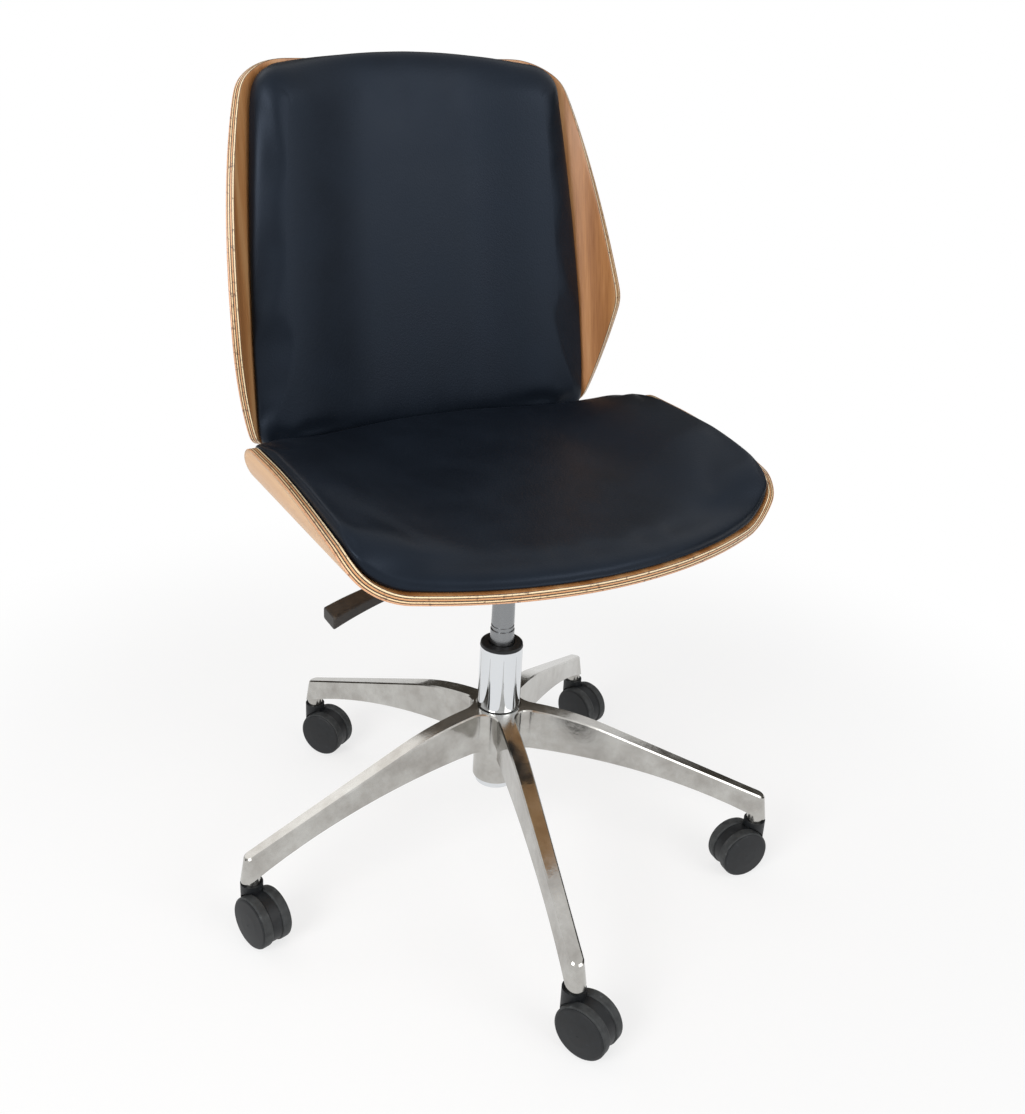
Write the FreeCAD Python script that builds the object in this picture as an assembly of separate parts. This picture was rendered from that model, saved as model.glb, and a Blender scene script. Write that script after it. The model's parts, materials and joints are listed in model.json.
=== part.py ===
"""Armless swivel office chair: two bent-ply shells with pads, gas lift, five-arm base, twin-wheel casters.

Millimetres, +Z up. The origin is on the floor, on the column's axis, and the sitter faces -Y.
"""
import FreeCAD
import Part
import math
import os

V = FreeCAD.Vector
ORIGIN = V(0, 0, 0)
X_AXIS = V(1, 0, 0)
Y_AXIS = V(0, 1, 0)
Z_AXIS = V(0, 0, 1)

# Fits
RUNNING_FIT = 0.05       # radial, where one piece turns or slides in another
SEAT_FIT = 0.02          # radial, where pieces are pressed or wedged together
SIDE_GAP = 0.4           # between faces that pass each other
PAD_GAP = 0.3            # between a pad and its shell
OVERSHOOT = 12.0         # of a cutting shape past what it cuts

# Casters: twin wheels on a trailing hood
WHEEL_RADIUS = 30.0
WHEEL_WIDTH = 14.2
TYRE_DEPTH = 3.6
TYRE_SHOULDER = 1.6
DISC_CROWN = 1.6
CASTER_TRAIL = 20.0
HOOD_WIDTH = 12.0
HOOD_REVEAL = 1.6        # wheel radius over hood radius
HOOD_WALL = 4.5
HOOD_WEB = 5.0
HOOD_FLOOR = 10.0
SLEEVE_RADIUS = 12.6
SLEEVE_SINK = 6.0        # foot of the stem's sleeve over the axle
SLEEVE_LIP = 4.0
AXLE_RADIUS = 3.0
AXLE_COVER = 3.4         # wheel face over the axle's end
STEM_RADIUS = 5.5
STEM_LENGTH = 26.0
STEM_COLLAR = 1.8
PIVOT_RADIUS = 4.0
PIVOT_LENGTH = 21.0
CASTER_HEADINGS = (-73.8, -65.1, 174.9, -73.1, -55.5)   # trailing directions, degrees

# Five-arm base
ARM_COUNT = 5
FIRST_ARM = 184.1        # degrees
STEM_CIRCLE = 316.7
ARM_WIDTH = 20.4         # at the hub, where the sides are upright
ARM_TIP_WIDTH = 14.4     # of the upper face over the stem
ARM_TIP_FLARE = 4.5      # of each side from there down to the under edge
ARM_OVERRUN = 0.5        # share of an arm's depth that its blank stands past the arches
ARM_ROOT = 60.0          # where the arms leave the hub
ARM_EDGE = 1.5
HUB_TOP = 203.0
ARM_TIP_RISE = 31.0      # arm's top over its stem boss, at the very tip
ARM_KNEE = 130.0         # where the upper arch runs on straight
ARM_KNEE_RISE = 16.0     # of the knee over the arch's chord
ARM_ROOT_DEPTH = 52.0
ARM_TIP_DEPTH = 30.0
ARM_UNDER_RISE = 21.0
ARM_WALL = 4.0
HUB_RIM = 6.0            # of the web between two arms over the column
HUB_WALL = 2.0
HUB_LENGTH = 97.0
BORE_RELIEF = 2.0        # width of the groove round the column at the hub's top
BORE_RELIEF_DEPTH = 4.0
BOSS_RADIUS = 9.75
BOSS_CLEARANCE = 4.2     # of the stem boss over the wheels
POCKET_CORNER = 0.9      # of a pocket's half width

# Gas lift
TAPER = math.tan(math.radians(1.4378 / 2))   # radius lost per length of the wedge fit
COLUMN_RADIUS = 25.0
COLUMN_WALL = 2.0
COLUMN_REACH = 77.8      # over the hub
COLUMN_TAIL = 8.0        # under the hub
COLUMN_FLOOR = 4.0
BUSH_LENGTH = 60.0
BUSH_CAP = 4.0
CYLINDER_RADIUS = 14.0
CYLINDER_WALL = 3.0
CYLINDER_WEDGE = 93.0    # length of the upper wedge
CYLINDER_HEAD = 16.0
SHOULDER_MARGIN = 2.2    # shoulder over the bush at the lowest height
GROOVE_STEP = 3.0
GROOVE_DEPTH = 0.5
RING_COUNT = 2           # grooves round the cylinder over its shoulder
RING_STEP = 5.0
RING_DEPTH = 0.8
ROD_RADIUS = 5.0
ROD_NECK = 4.0
ROD_TAIL = 3.0
RACE_RADIUS = 14.0
RACE_THICKNESS = 2.5
BALL_RADIUS = 2.0
BALL_COUNT = 9
BUMP_RADIUS = 13.0
BUMP_LENGTH = 18.0
LIFT_DOWN = 15.0         # travel left below the pose shown
LIFT_UP = 85.0
GLAND_LENGTH = 20.0
PISTON_LENGTH = 12.0
PISTON_MARGIN = 5.0      # from the gland to the piston at full height
BUMP_MARGIN = 0.5
CLIP_RADIUS = 11.0
CLIP_THICKNESS = 2.0
VALVE_RADIUS = 3.0
VALVE_HEIGHT = 6.0

# Seat plate and height lever
SOCKET_WALL = 4.0
SOCKET_LENGTH = 48.0
SOCKET_COLLAR = 6.0
PLATE_THICKNESS = 2.5
PLATE_WIDTH = 180.0
PLATE_DEPTH = 190.0
PLATE_CORNER = 22.0
PAN_WIDTH = 112.0
PAN_DEPTH = 104.0
PAN_DRAFT = 9.0
PAN_CORNER = 18.0
PAN_HEIGHT = 68.0
PAN_SINK = 12.0          # pan floor under the cylinder's top
LEVER_ANGLE = 15.5       # degrees forward of straight sideways
LEVER_RADIUS = 4.0
LEVER_GAP = 0.9
LEVER_PIVOT = 34.0       # from the valve to the pivot
LEVER_REACH = 196.0
LEVER_TAIL = 7.0
LEVER_SLOT = 20.0
LEVER_SLOT_WIDTH = 12.0
PIN_RADIUS = 2.0
CHEEK_THICKNESS = 3.0
CHEEK_WIDTH = 14.0
HANDLE_START = 150.0
HANDLE_END = 251.0
HANDLE_SHARES = (0.0, 0.5, 1.06)   # sections along the handle, the last past its cut end
HANDLE_NEAR = (7.5, 9.0, 11.0)     # reach of each section to the front
HANDLE_FAR = (10.5, 14.0, 15.0)    # and to the rear
HANDLE_HEIGHTS = (12.5, 13.0, 14.0)
HANDLE_SKEW = 14.0       # degrees, of the cut end
HANDLE_DROOP = 10.0
HANDLE_EDGE = 3.0
HANDLE_END_EDGE = 1.6

# Bent-ply seat shell
SEAT_PLY = 11.0
SEAT_FLAT = 195.0        # half width before the bends
SEAT_BEND = 55.0
SEAT_WING = 59.0         # wing top over the ply face
SEAT_FRONT = 213.0
SEAT_REAR = 204.0
FRONT_EDGE_RADIUS = 453.0
REAR_EDGE_RADIUS = 488.0
WING_SWEEP_START = 156.0  # where the side edge leaves the front edge, forward of the axis
WING_SHOULDER = 118.0
WING_SHOULDER_DROP = 18.0
WING_SHOULDER_BOW = 3.0
WING_CREST = 45.0        # behind the axis
WING_TOP_BOW = 3.5
WING_REAR_RADIUS = 32.0
SEAT_STEP = 8.0          # the side edge starts this far over the ply face

# Bent-ply back shell, set out along its own recline
BACK_PLY = 9.5
RECLINE = 8.2            # degrees
BACK_SETBACK = 34.0      # foot of the back behind the seat's rear edge and over its ply face
BACK_LIFT = 16.0
BACK_HEIGHT = 428.0
BACK_FLAT = 136.0        # half width before the bends
BACK_BEND = 112.0
BACK_TOP_INSET = 96.0    # from the widest inner face to where the top's corners start
BACK_CORNER_INSET = 29.0
BACK_CORNER_DROP = 58.0
BACK_CORNER_BOW = 9.5
BACK_FOOT_INSET = 53.0
BACK_FOOT_CORNER = 43.0
BACK_FOOT_RISE = 24.0
BACK_FOOT_BOW = 0.67     # share of the foot corner's width at the middle of its arc
BACK_WING_FOOT = 35.0    # wing depth at the foot, the peak and the top
BACK_WING_PEAK = 82.7
BACK_WING_TOP = 16.0
BACK_PEAK_HEIGHT = 139.0
BACK_PEAK_RADIUS = 45.0

# Pads
SEAT_PAD_FRONT = 21.0    # thickness behind the front roll, in the middle and before the rear roll
SEAT_PAD = 28.0
SEAT_PAD_REAR = 42.0
SEAT_PAD_FRONT_ROLL = 17.0
SEAT_PAD_REAR_ROLL = 8.0
SEAT_PAD_REAR_DROP = 3.0  # of the wing's rim towards the rear
SEAT_PAD_RIM = 15.0      # width of the rolled rim on a wing
SEAT_PAD_CORNER = 24.0
SEAT_PAD_PROUD = 6.0     # of the wing's ply edge
SEAT_PAD_INSET = 4.0
SEAT_PAD_FLAT = 118.0
BACK_PAD = 28.0
BACK_PAD_FOOT = 14.0
BACK_PAD_OVER = 12.0     # pad's top over the ply's
BACK_PAD_TOP_SAG = 14.0
BACK_PAD_TOP_HALF = 160.0
BACK_PAD_FLAT = 100.0
BACK_PAD_INSET = 32.5    # pad's side edge inside the wing's inner face
BACK_PAD_EDGE = 45.0     # height of the pad's side edge over the flat ply
BACK_PAD_WIDEST = 105.0
BACK_PAD_SIDE_RADIUS = 1700.0
BACK_PAD_TOP_CORNER = 36.0
BACK_PAD_LOW_CORNER = 22.0
BACK_PAD_ROLL = 13.0
SHARP_TURN = 10.0        # degrees, above which an edge is rounded
SIDE_STATIONS = (0.35, 0.7, 1.0)   # sections of the seat pad between its flat and its rim
RIM_STATIONS = (0.5, 0.85, 1.0)    # and across its rim
NEAR_QUARTER = 0.95      # of a round edge's radius, short of where it would turn upright

# Back bracket and screws
BRACKET_WIDTH = 92.0
BRACKET_THICKNESS = 6.0
BRACKET_GAP = 11.0       # behind the seat plate
BRACKET_BEND = 30.0
BRACKET_RISE = 150.0
BRACKET_CORNER = 14.0
BOLT_RADIUS = 3.0
BOLT_HEAD_RADIUS = 5.5
BOLT_HEAD = 3.5
INSERT_RADIUS = 4.2
INSERT_FLANGE_RADIUS = 9.0
INSERT_FLANGE = 1.2
BOLT_DOME = 6.9          # radius of a bolt head's dome
BOLT_SOCKET = 1.8
BOLT_EDGE = 16.0         # from a bolt to the edge of its plate
BRACKET_BOLT_PITCH = 46.0
BACK_BOLT_SIDE = 20.0
BACK_BOLT_DROP = 22.0    # from the bracket's top
BACK_BOLT_PITCH = 66.0

# Sizes that follow
HALF_ARM = ARM_WIDTH / 2
ARM_STEP = 360.0 / ARM_COUNT
ARM_REACH = STEM_CIRCLE + 2 * BOSS_RADIUS
BOSS_FOOT = 2 * WHEEL_RADIUS + BOSS_CLEARANCE
ARM_TIP_TOP = BOSS_FOOT + ARM_TIP_RISE
ARM_KNEE_TOP = HUB_TOP - (HUB_TOP - ARM_TIP_TOP) * ARM_KNEE / ARM_REACH + ARM_KNEE_RISE
ARM_FALL = (ARM_KNEE_TOP - ARM_TIP_TOP) / (ARM_REACH - ARM_KNEE)
HUB_RADIUS = COLUMN_RADIUS + HUB_WALL
HUB_WEB_RADIUS = COLUMN_RADIUS + HUB_RIM
HUB_FOOT = HUB_TOP - HUB_LENGTH
COLUMN_TOP = HUB_TOP + COLUMN_REACH
COLUMN_FOOT = HUB_FOOT - COLUMN_TAIL
RACE_TOP = COLUMN_FOOT + COLUMN_FLOOR + RACE_THICKNESS
UPPER_RACE = RACE_TOP + 2 * (BALL_RADIUS + RUNNING_FIT)
ROD_SHOULDER = UPPER_RACE + RACE_THICKNESS
BALL_CIRCLE = (ROD_NECK + RACE_RADIUS) / 2
BUMP_TOP = ROD_SHOULDER + BUMP_LENGTH
CYLINDER_BORE = CYLINDER_RADIUS - CYLINDER_WALL
CYLINDER_FOOT = BUMP_TOP + BUMP_MARGIN + LIFT_DOWN
CYLINDER_SHOULDER = COLUMN_TOP + BUSH_CAP + LIFT_DOWN + SHOULDER_MARGIN
CYLINDER_TOP = CYLINDER_SHOULDER + CYLINDER_WEDGE
PISTON_FOOT = CYLINDER_FOOT + GLAND_LENGTH + LIFT_UP + PISTON_MARGIN
SOCKET_RADIUS = CYLINDER_RADIUS + SOCKET_WALL
LEVER_Z = CYLINDER_TOP + VALVE_HEIGHT + LEVER_GAP + LEVER_RADIUS
PAN_FLOOR = CYLINDER_TOP - PAN_SINK
SEAT_UNDER = PAN_FLOOR + PAN_HEIGHT
SEAT_FACE = SEAT_UNDER + SEAT_PLY
SEAT_HALF = SEAT_FLAT + SEAT_BEND
PLATE_UNDER = SEAT_UNDER - PLATE_THICKNESS
BACK_FOOT_Y = SEAT_REAR + BACK_SETBACK
BACK_FOOT_Z = SEAT_FACE + BACK_LIFT
BACK_HALF = BACK_FLAT + BACK_BEND
BACK_PAD_TOP = BACK_HEIGHT + BACK_PAD_OVER
BACK_PAD_HALF = BACK_HALF - BACK_PAD_INSET
BRACKET_START = PLATE_DEPTH / 2 + BRACKET_GAP
BRACKET_BOLT = BRACKET_START + BOLT_EDGE
BACK_BOLT_TOP = BRACKET_RISE - BACK_BOLT_DROP


def edges_of(start, steps):
    """Edges from a start point: a point adds a straight run, a pair an arc through the first point."""
    edges = []
    here = start
    for step in steps:
        if isinstance(step, V):
            edges.append(Part.LineSegment(here, step).toShape())
            here = step
        else:
            edges.append(Part.Arc(here, step[0], step[1]).toShape())
            here = step[1]
    return edges


def outline(start, *steps):
    """Flat face bounded by runs and arcs that end where they start."""
    return Part.Face(Part.Wire(edges_of(start, steps)))


def turned(*profile):
    """Solid of revolution about Z of a closed (radius, height) profile."""
    points = [V(radius, 0, height) for radius, height in profile]
    face = Part.Face(Part.makePolygon(points + points[:1]))
    return face.revolve(ORIGIN, Z_AXIS, 360)


def post(radius, foot, top, x=0.0, y=0.0):
    """Upright cylinder."""
    return Part.makeCylinder(radius, top - foot, V(x, y, foot))


def across(radius, start, end, x, z):
    """Cylinder along Y."""
    return Part.makeCylinder(radius, end - start, V(x, start, z), Y_AXIS)


def rounded_rectangle(width, depth, corner, height):
    """Closed wire of a rectangle with round corners, at a height."""
    half_w = width / 2
    half_d = depth / 2
    bow = corner * (1 - math.sqrt(0.5))
    start = V(half_w, corner - half_d, height)
    steps = []
    for sx, sy in ((1, 1), (-1, 1), (-1, -1), (1, -1)):
        side = V(sx * half_w, sy * (half_d - corner), height)
        end = V(sx * (half_w - corner), sy * half_d, height)
        through = V(sx * (half_w - bow), sy * (half_d - bow), height)
        if sx == sy:
            steps += [side, (through, end)]
        else:
            steps += [end, (through, side)]
    steps[-1] = (steps[-1][0], start)
    return Part.Wire(edges_of(start, steps))


def polar(radius, degrees, height=0.0):
    angle = math.radians(degrees)
    return V(radius * math.cos(angle), radius * math.sin(angle), height)


def turn_and_place(shape, degrees, place):
    shape.rotate(ORIGIN, Z_AXIS, degrees)
    shape.translate(place)
    return shape


# Five-arm base


def arm_angles():
    return [FIRST_ARM + ARM_STEP * k for k in range(ARM_COUNT)]


def hub_face():
    """Plan of the hub: a round web from arm to arm, and a square stub for each arm."""
    half_step = math.radians(ARM_STEP / 2)
    centre = (HUB_WEB_RADIUS - HALF_ARM) / (1 - math.sin(half_step))
    root = centre * math.cos(half_step)
    first = polar(ARM_ROOT, FIRST_ARM) - polar(HALF_ARM, FIRST_ARM + 90)
    steps = []
    for angle in arm_angles():
        side = polar(HALF_ARM, angle + 90)
        next_side = polar(HALF_ARM, angle + ARM_STEP + 90)
        steps.append(polar(ARM_ROOT, angle) + side)
        steps.append(polar(root, angle) + side)
        arrive = polar(root, angle + ARM_STEP) - next_side
        steps.append((polar(HUB_WEB_RADIUS, angle + ARM_STEP / 2), arrive))
        steps.append(polar(ARM_ROOT, angle + ARM_STEP) - next_side)
    steps[-1] = first
    return outline(first, *steps)


def arm_corners(top, depth, half, flare):
    """Half widths and heights of an arm's upper and under corners, carried on past its arches."""
    over = ARM_OVERRUN
    return (half - over * flare, top + over * depth), (half + (1 + over) * flare, top - (1 + over) * depth)


def arm_blank():
    """One arm along X: upright sides at the hub, flared ones and a round end at the stem."""
    stem_top = ARM_TIP_TOP + ARM_FALL * (ARM_REACH - STEM_CIRCLE)
    root = arm_corners(HUB_TOP, ARM_ROOT_DEPTH, HALF_ARM, 0)
    tip = arm_corners(stem_top, ARM_TIP_DEPTH, ARM_TIP_WIDTH / 2, ARM_TIP_FLARE)
    sections = []
    for reach, (upper, under) in ((ARM_ROOT, root), (STEM_CIRCLE, tip)):
        corners = [V(reach, -upper[0], upper[1]), V(reach, upper[0], upper[1]),
                   V(reach, under[0], under[1]), V(reach, -under[0], under[1])]
        sections.append(Part.makePolygon(corners + corners[:1]))
    arm = Part.makeLoft(sections, True, True)
    end = turned((0, tip[1][1]), tip[1], tip[0], (0, tip[0][1]))
    end.translate(V(STEM_CIRCLE, 0, 0))
    return arm.fuse(end)


def arch_solid(lowered):
    """Body of revolution between the arms' upper and lower arches, with its top lowered by a wall."""
    reach = ARM_REACH
    root_top = HUB_TOP - lowered
    tip_top = ARM_TIP_TOP - lowered
    root_under = HUB_TOP - ARM_ROOT_DEPTH
    tip_under = ARM_TIP_TOP - ARM_TIP_DEPTH
    top = V(0, 0, root_top)
    knee = V(ARM_KNEE, 0, ARM_KNEE_TOP - lowered)
    chord = knee - top
    turn = math.atan(ARM_FALL) - math.atan2(-chord.z, chord.x)
    bow = math.tan(turn / 2) / 2
    upper_mid = (top + knee) / 2 + V(-chord.z, 0, chord.x) * bow
    under_mid = V(reach / 2, 0, (root_under + tip_under) / 2 + ARM_UNDER_RISE)
    if lowered:
        under = [V(reach, 0, 0), V(0, 0, 0)]
    else:
        under = [V(reach, 0, tip_under), (under_mid, V(0, 0, root_under))]
    face = outline(top, (upper_mid, knee), V(reach, 0, tip_top), *under, top)
    return face.revolve(ORIGIN, Z_AXIS, 360)


def column_radius(height):
    """Outer radius of the column's wedge inside the hub."""
    return COLUMN_RADIUS - (HUB_TOP - height) * TAPER


def make_star_base():
    base = hub_face().extrude(Z_AXIS * 2 * HUB_TOP)
    for angle in arm_angles():
        arm = arm_blank()
        arm.rotate(ORIGIN, Z_AXIS, angle)
        base = base.fuse(arm)
    base = base.common(arch_solid(0))
    rims = [e for e in base.Edges if e.BoundBox.ZMax > ARM_TIP_TOP and is_upper_edge(e)]
    base = base.makeChamfer(ARM_EDGE, rims)
    hollow = arch_solid(ARM_WALL)
    pocket_start = HUB_WEB_RADIUS + 2 * ARM_WALL
    pocket_end = STEM_CIRCLE - BOSS_RADIUS - ARM_WALL
    half = (ARM_TIP_WIDTH - ARM_WALL) / 2
    for angle in arm_angles():
        pocket = Part.makeBox(pocket_end - pocket_start, 2 * half, HUB_TOP, V(pocket_start, -half, 0))
        uprights = [e for e in pocket.Edges if e.BoundBox.ZLength > ARM_WALL]
        pocket = pocket.makeFillet(half * POCKET_CORNER, uprights)
        pocket.rotate(ORIGIN, Z_AXIS, angle)
        base = base.cut(pocket.common(hollow))
    base = base.fuse(post(HUB_RADIUS, HUB_FOOT, HUB_TOP - ARM_ROOT_DEPTH / 2))
    for angle in arm_angles():
        spot = polar(STEM_CIRCLE, angle)
        stem_top = BOSS_FOOT + STEM_LENGTH + SIDE_GAP
        base = base.fuse(post(BOSS_RADIUS, BOSS_FOOT, ARM_TIP_TOP - ARM_TIP_DEPTH / 2, spot.x, spot.y))
        base = base.cut(post(STEM_RADIUS + SEAT_FIT, BOSS_FOOT, stem_top, spot.x, spot.y))
    groove = HUB_TOP - BORE_RELIEF_DEPTH
    bore = turned((0, HUB_FOOT), (column_radius(HUB_FOOT) + SEAT_FIT, HUB_FOOT),
                  (column_radius(groove) + SEAT_FIT, groove), (COLUMN_RADIUS + BORE_RELIEF, groove),
                  (COLUMN_RADIUS + BORE_RELIEF, HUB_TOP), (0, HUB_TOP))
    return base.cut(bore).removeSplitter()


def is_upper_edge(edge):
    """True for an edge that lies on the arms' upper arch and doesn't cross it at the knee."""
    middle = edge.valueAt((edge.FirstParameter + edge.LastParameter) / 2)
    first = edge.valueAt(edge.FirstParameter)
    if abs(math.hypot(middle.x, middle.y) - math.hypot(first.x, first.y)) < SEAT_FIT:
        return False
    share = math.hypot(middle.x, middle.y) / ARM_REACH
    chord = HUB_TOP + (ARM_TIP_TOP - HUB_TOP) * share
    depth = ARM_ROOT_DEPTH + (ARM_TIP_DEPTH - ARM_ROOT_DEPTH) * share
    flat = edge.BoundBox.ZLength < depth / 2 or edge.Length > 2 * depth
    return flat and middle.z > chord - ARM_TIP_DEPTH / 4


def make_caster_stems():
    """Pintles: a plain shank in the arm, a collar, and the pivot that the hood turns on."""
    stems = []
    for angle in arm_angles():
        spot = polar(STEM_CIRCLE, angle)
        collar_foot = BOSS_FOOT - STEM_COLLAR
        stem = post(STEM_RADIUS, BOSS_FOOT, BOSS_FOOT + STEM_LENGTH)
        stem = stem.fuse(post(STEM_RADIUS + PIVOT_RADIUS / 2, collar_foot, BOSS_FOOT))
        stem = stem.fuse(post(PIVOT_RADIUS, collar_foot - PIVOT_LENGTH, collar_foot))
        stem = stem.removeSplitter()
        stem.translate(spot)
        stems.append(stem)
    return Part.makeCompound(stems)


# Casters, drawn with the stem on the Z axis and the wheels trailing along +X


def make_hood():
    axle = (CASTER_TRAIL, WHEEL_RADIUS)
    half = HOOD_WIDTH / 2
    radius = WHEEL_RADIUS - HOOD_REVEAL
    hood = across(radius, -half, half, *axle)
    recess = (HOOD_WIDTH - HOOD_WEB) / 2
    cup_floor = BOSS_FOOT - STEM_COLLAR - PAD_GAP
    lip = cup_floor + SLEEVE_LIP
    sleeve = post(SLEEVE_RADIUS, WHEEL_RADIUS + SLEEVE_SINK, lip)
    for side in (-1, 1):
        start = side * half if side > 0 else -half - WHEEL_WIDTH
        sleeve = sleeve.cut(across(WHEEL_RADIUS + HOOD_REVEAL, start, start + WHEEL_WIDTH, *axle))
        pocket = half - recess if side > 0 else -half
        hood = hood.cut(across(radius - HOOD_WALL, pocket, pocket + recess, *axle))
    boss = across(AXLE_RADIUS + HOOD_WALL, -half, half, *axle)
    hood = hood.fuse(boss).fuse(sleeve)
    hood = hood.cut(Part.makeBox(8 * radius, 8 * radius, HOOD_FLOOR, V(-4 * radius, -4 * radius, 0)))
    hood = hood.cut(post(BOSS_RADIUS + PAD_GAP, cup_floor, lip + SLEEVE_LIP))
    hood = hood.cut(post(PIVOT_RADIUS + RUNNING_FIT, cup_floor - PIVOT_LENGTH - SIDE_GAP, lip))
    hood = hood.cut(across(AXLE_RADIUS + SEAT_FIT, -HOOD_WIDTH, HOOD_WIDTH, *axle))
    return hood.removeSplitter()


def make_axle():
    reach = HOOD_WIDTH / 2 + SIDE_GAP + WHEEL_WIDTH - AXLE_COVER
    return across(AXLE_RADIUS, -reach, reach, CASTER_TRAIL, WHEEL_RADIUS)


def wheel_on(profile, side):
    """Turns a (radius, distance from the inner face) profile about the caster's axle, on one side."""
    face = HOOD_WIDTH / 2 + SIDE_GAP
    points = [V(CASTER_TRAIL + radius, side * (face + depth), WHEEL_RADIUS) for radius, depth in profile]
    blank = Part.Face(Part.makePolygon(points + points[:1]))
    return blank.revolve(V(CASTER_TRAIL, 0, WHEEL_RADIUS), Y_AXIS, 360)


def make_wheel(side):
    rim = WHEEL_RADIUS - TYRE_DEPTH
    lip = WHEEL_RADIUS - TYRE_SHOULDER
    hub = AXLE_RADIUS + HOOD_WALL
    bore = AXLE_RADIUS + RUNNING_FIT
    bore_end = WHEEL_WIDTH - AXLE_COVER + SIDE_GAP
    web = WHEEL_WIDTH - AXLE_COVER
    edge = WHEEL_WIDTH - DISC_CROWN
    wall = TYRE_DEPTH
    profile = [(bore, 0), (hub, 0), (hub, web - wall), (rim - wall, web - wall), (rim - wall, 0), (rim, 0),
               (rim, edge - TYRE_SHOULDER), (lip, edge - TYRE_SHOULDER), (lip, edge - TYRE_SHOULDER / 2),
               (lip - TYRE_SHOULDER, edge), (rim / 2, WHEEL_WIDTH - DISC_CROWN / 4), (0, WHEEL_WIDTH),
               (0, bore_end), (bore, bore_end)]
    return wheel_on(profile, side)


def make_tyre(side):
    rim = WHEEL_RADIUS - TYRE_DEPTH + SEAT_FIT
    width = WHEEL_WIDTH - DISC_CROWN - TYRE_SHOULDER - SEAT_FIT
    shoulder = TYRE_SHOULDER
    profile = [(rim, 0), (WHEEL_RADIUS - shoulder, 0), (WHEEL_RADIUS - shoulder / 4, shoulder / 3),
               (WHEEL_RADIUS, shoulder), (WHEEL_RADIUS, width - shoulder),
               (WHEEL_RADIUS - shoulder / 4, width - shoulder / 3), (WHEEL_RADIUS - shoulder, width),
               (rim, width)]
    return wheel_on(profile, side)


def caster_nodes():
    nodes = {}
    for k, (angle, heading) in enumerate(zip(arm_angles(), CASTER_HEADINGS), start=1):
        spot = polar(STEM_CIRCLE, angle)
        nodes[f"caster_hood_{k}"] = turn_and_place(make_hood(), heading, spot)
        nodes[f"caster_axle_{k}"] = turn_and_place(make_axle(), heading, spot)
        for name, side in (("left", 1), ("right", -1)):
            nodes[f"caster_wheel_{k}_{name}"] = turn_and_place(make_wheel(side), heading, spot)
            nodes[f"caster_tyre_{k}_{name}"] = turn_and_place(make_tyre(side), heading, spot)
    return nodes


# Gas lift


def make_column_tube():
    foot = column_radius(COLUMN_FOOT)
    floor = COLUMN_FOOT + COLUMN_FLOOR
    return turned((ROD_NECK + 2 * RUNNING_FIT, COLUMN_FOOT), (foot, COLUMN_FOOT), (COLUMN_RADIUS, HUB_TOP),
                  (COLUMN_RADIUS, COLUMN_TOP), (COLUMN_RADIUS - COLUMN_WALL, COLUMN_TOP),
                  (COLUMN_RADIUS - COLUMN_WALL, HUB_TOP), (column_radius(floor) - COLUMN_WALL, floor),
                  (ROD_NECK + 2 * RUNNING_FIT, floor))


def make_guide_bush():
    bore = CYLINDER_RADIUS + RUNNING_FIT
    outer = COLUMN_RADIUS - COLUMN_WALL - SEAT_FIT
    cap = COLUMN_RADIUS - COLUMN_WALL / 4
    chamfer = BUSH_CAP / 5
    top = COLUMN_TOP + BUSH_CAP
    return turned((bore, COLUMN_TOP - BUSH_LENGTH), (outer, COLUMN_TOP - BUSH_LENGTH), (outer, COLUMN_TOP),
                  (cap, COLUMN_TOP), (cap, top - chamfer), (cap - chamfer, top),
                  (bore + 2 * chamfer, top), (bore, top - 2 * chamfer))


def race(foot):
    return turned((ROD_NECK + RUNNING_FIT, foot), (RACE_RADIUS, foot), (RACE_RADIUS, foot + RACE_THICKNESS),
                  (ROD_NECK + RUNNING_FIT, foot + RACE_THICKNESS))


def make_thrust_balls():
    balls = []
    for k in range(BALL_COUNT):
        centre = polar(BALL_CIRCLE, 360.0 * k / BALL_COUNT, RACE_TOP + BALL_RADIUS + RUNNING_FIT)
        balls.append(Part.makeSphere(BALL_RADIUS, centre))
    return Part.makeCompound(balls)


def make_piston_rod():
    tail = COLUMN_FOOT - CLIP_THICKNESS - ROD_TAIL
    top = PISTON_FOOT + PISTON_LENGTH + ROD_TAIL
    neck = ROD_NECK
    groove = neck - GROOVE_DEPTH
    clip_top = COLUMN_FOOT - PAD_GAP
    clip_foot = clip_top - CLIP_THICKNESS
    return turned((0, tail), (neck, tail), (neck, clip_foot), (groove, clip_foot), (groove, clip_top),
                  (neck, clip_top), (neck, ROD_SHOULDER), (ROD_RADIUS, ROD_SHOULDER),
                  (ROD_RADIUS, PISTON_FOOT), (neck, PISTON_FOOT), (neck, top), (0, top))


def make_rod_clip():
    groove = ROD_NECK - GROOVE_DEPTH + SEAT_FIT
    top = COLUMN_FOOT - PAD_GAP
    foot = top - CLIP_THICKNESS
    clip = turned((groove, foot), (CLIP_RADIUS, foot), (CLIP_RADIUS, top), (groove, top))
    corner = V(0, -groove, foot - CLIP_THICKNESS / 2)
    slot = Part.makeBox(2 * CLIP_RADIUS, 2 * groove, 2 * CLIP_THICKNESS, corner)
    return clip.cut(slot)


def make_bump_stop():
    bore = ROD_RADIUS + SIDE_GAP
    waist = BUMP_RADIUS - GROOVE_STEP
    middle = (ROD_SHOULDER + BUMP_TOP) / 2
    return turned((bore, ROD_SHOULDER), (BUMP_RADIUS, ROD_SHOULDER), (waist, middle),
                  (BUMP_RADIUS, BUMP_TOP), (bore, BUMP_TOP))


def make_piston():
    outer = CYLINDER_BORE - RUNNING_FIT
    groove = outer - GROOVE_DEPTH * 2
    foot = PISTON_FOOT
    top = foot + PISTON_LENGTH
    third = PISTON_LENGTH / 3
    bore = ROD_NECK + SEAT_FIT
    return turned((bore, foot), (outer, foot), (outer, foot + third), (groove, foot + third),
                  (groove, top - third), (outer, top - third), (outer, top), (bore, top))


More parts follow.
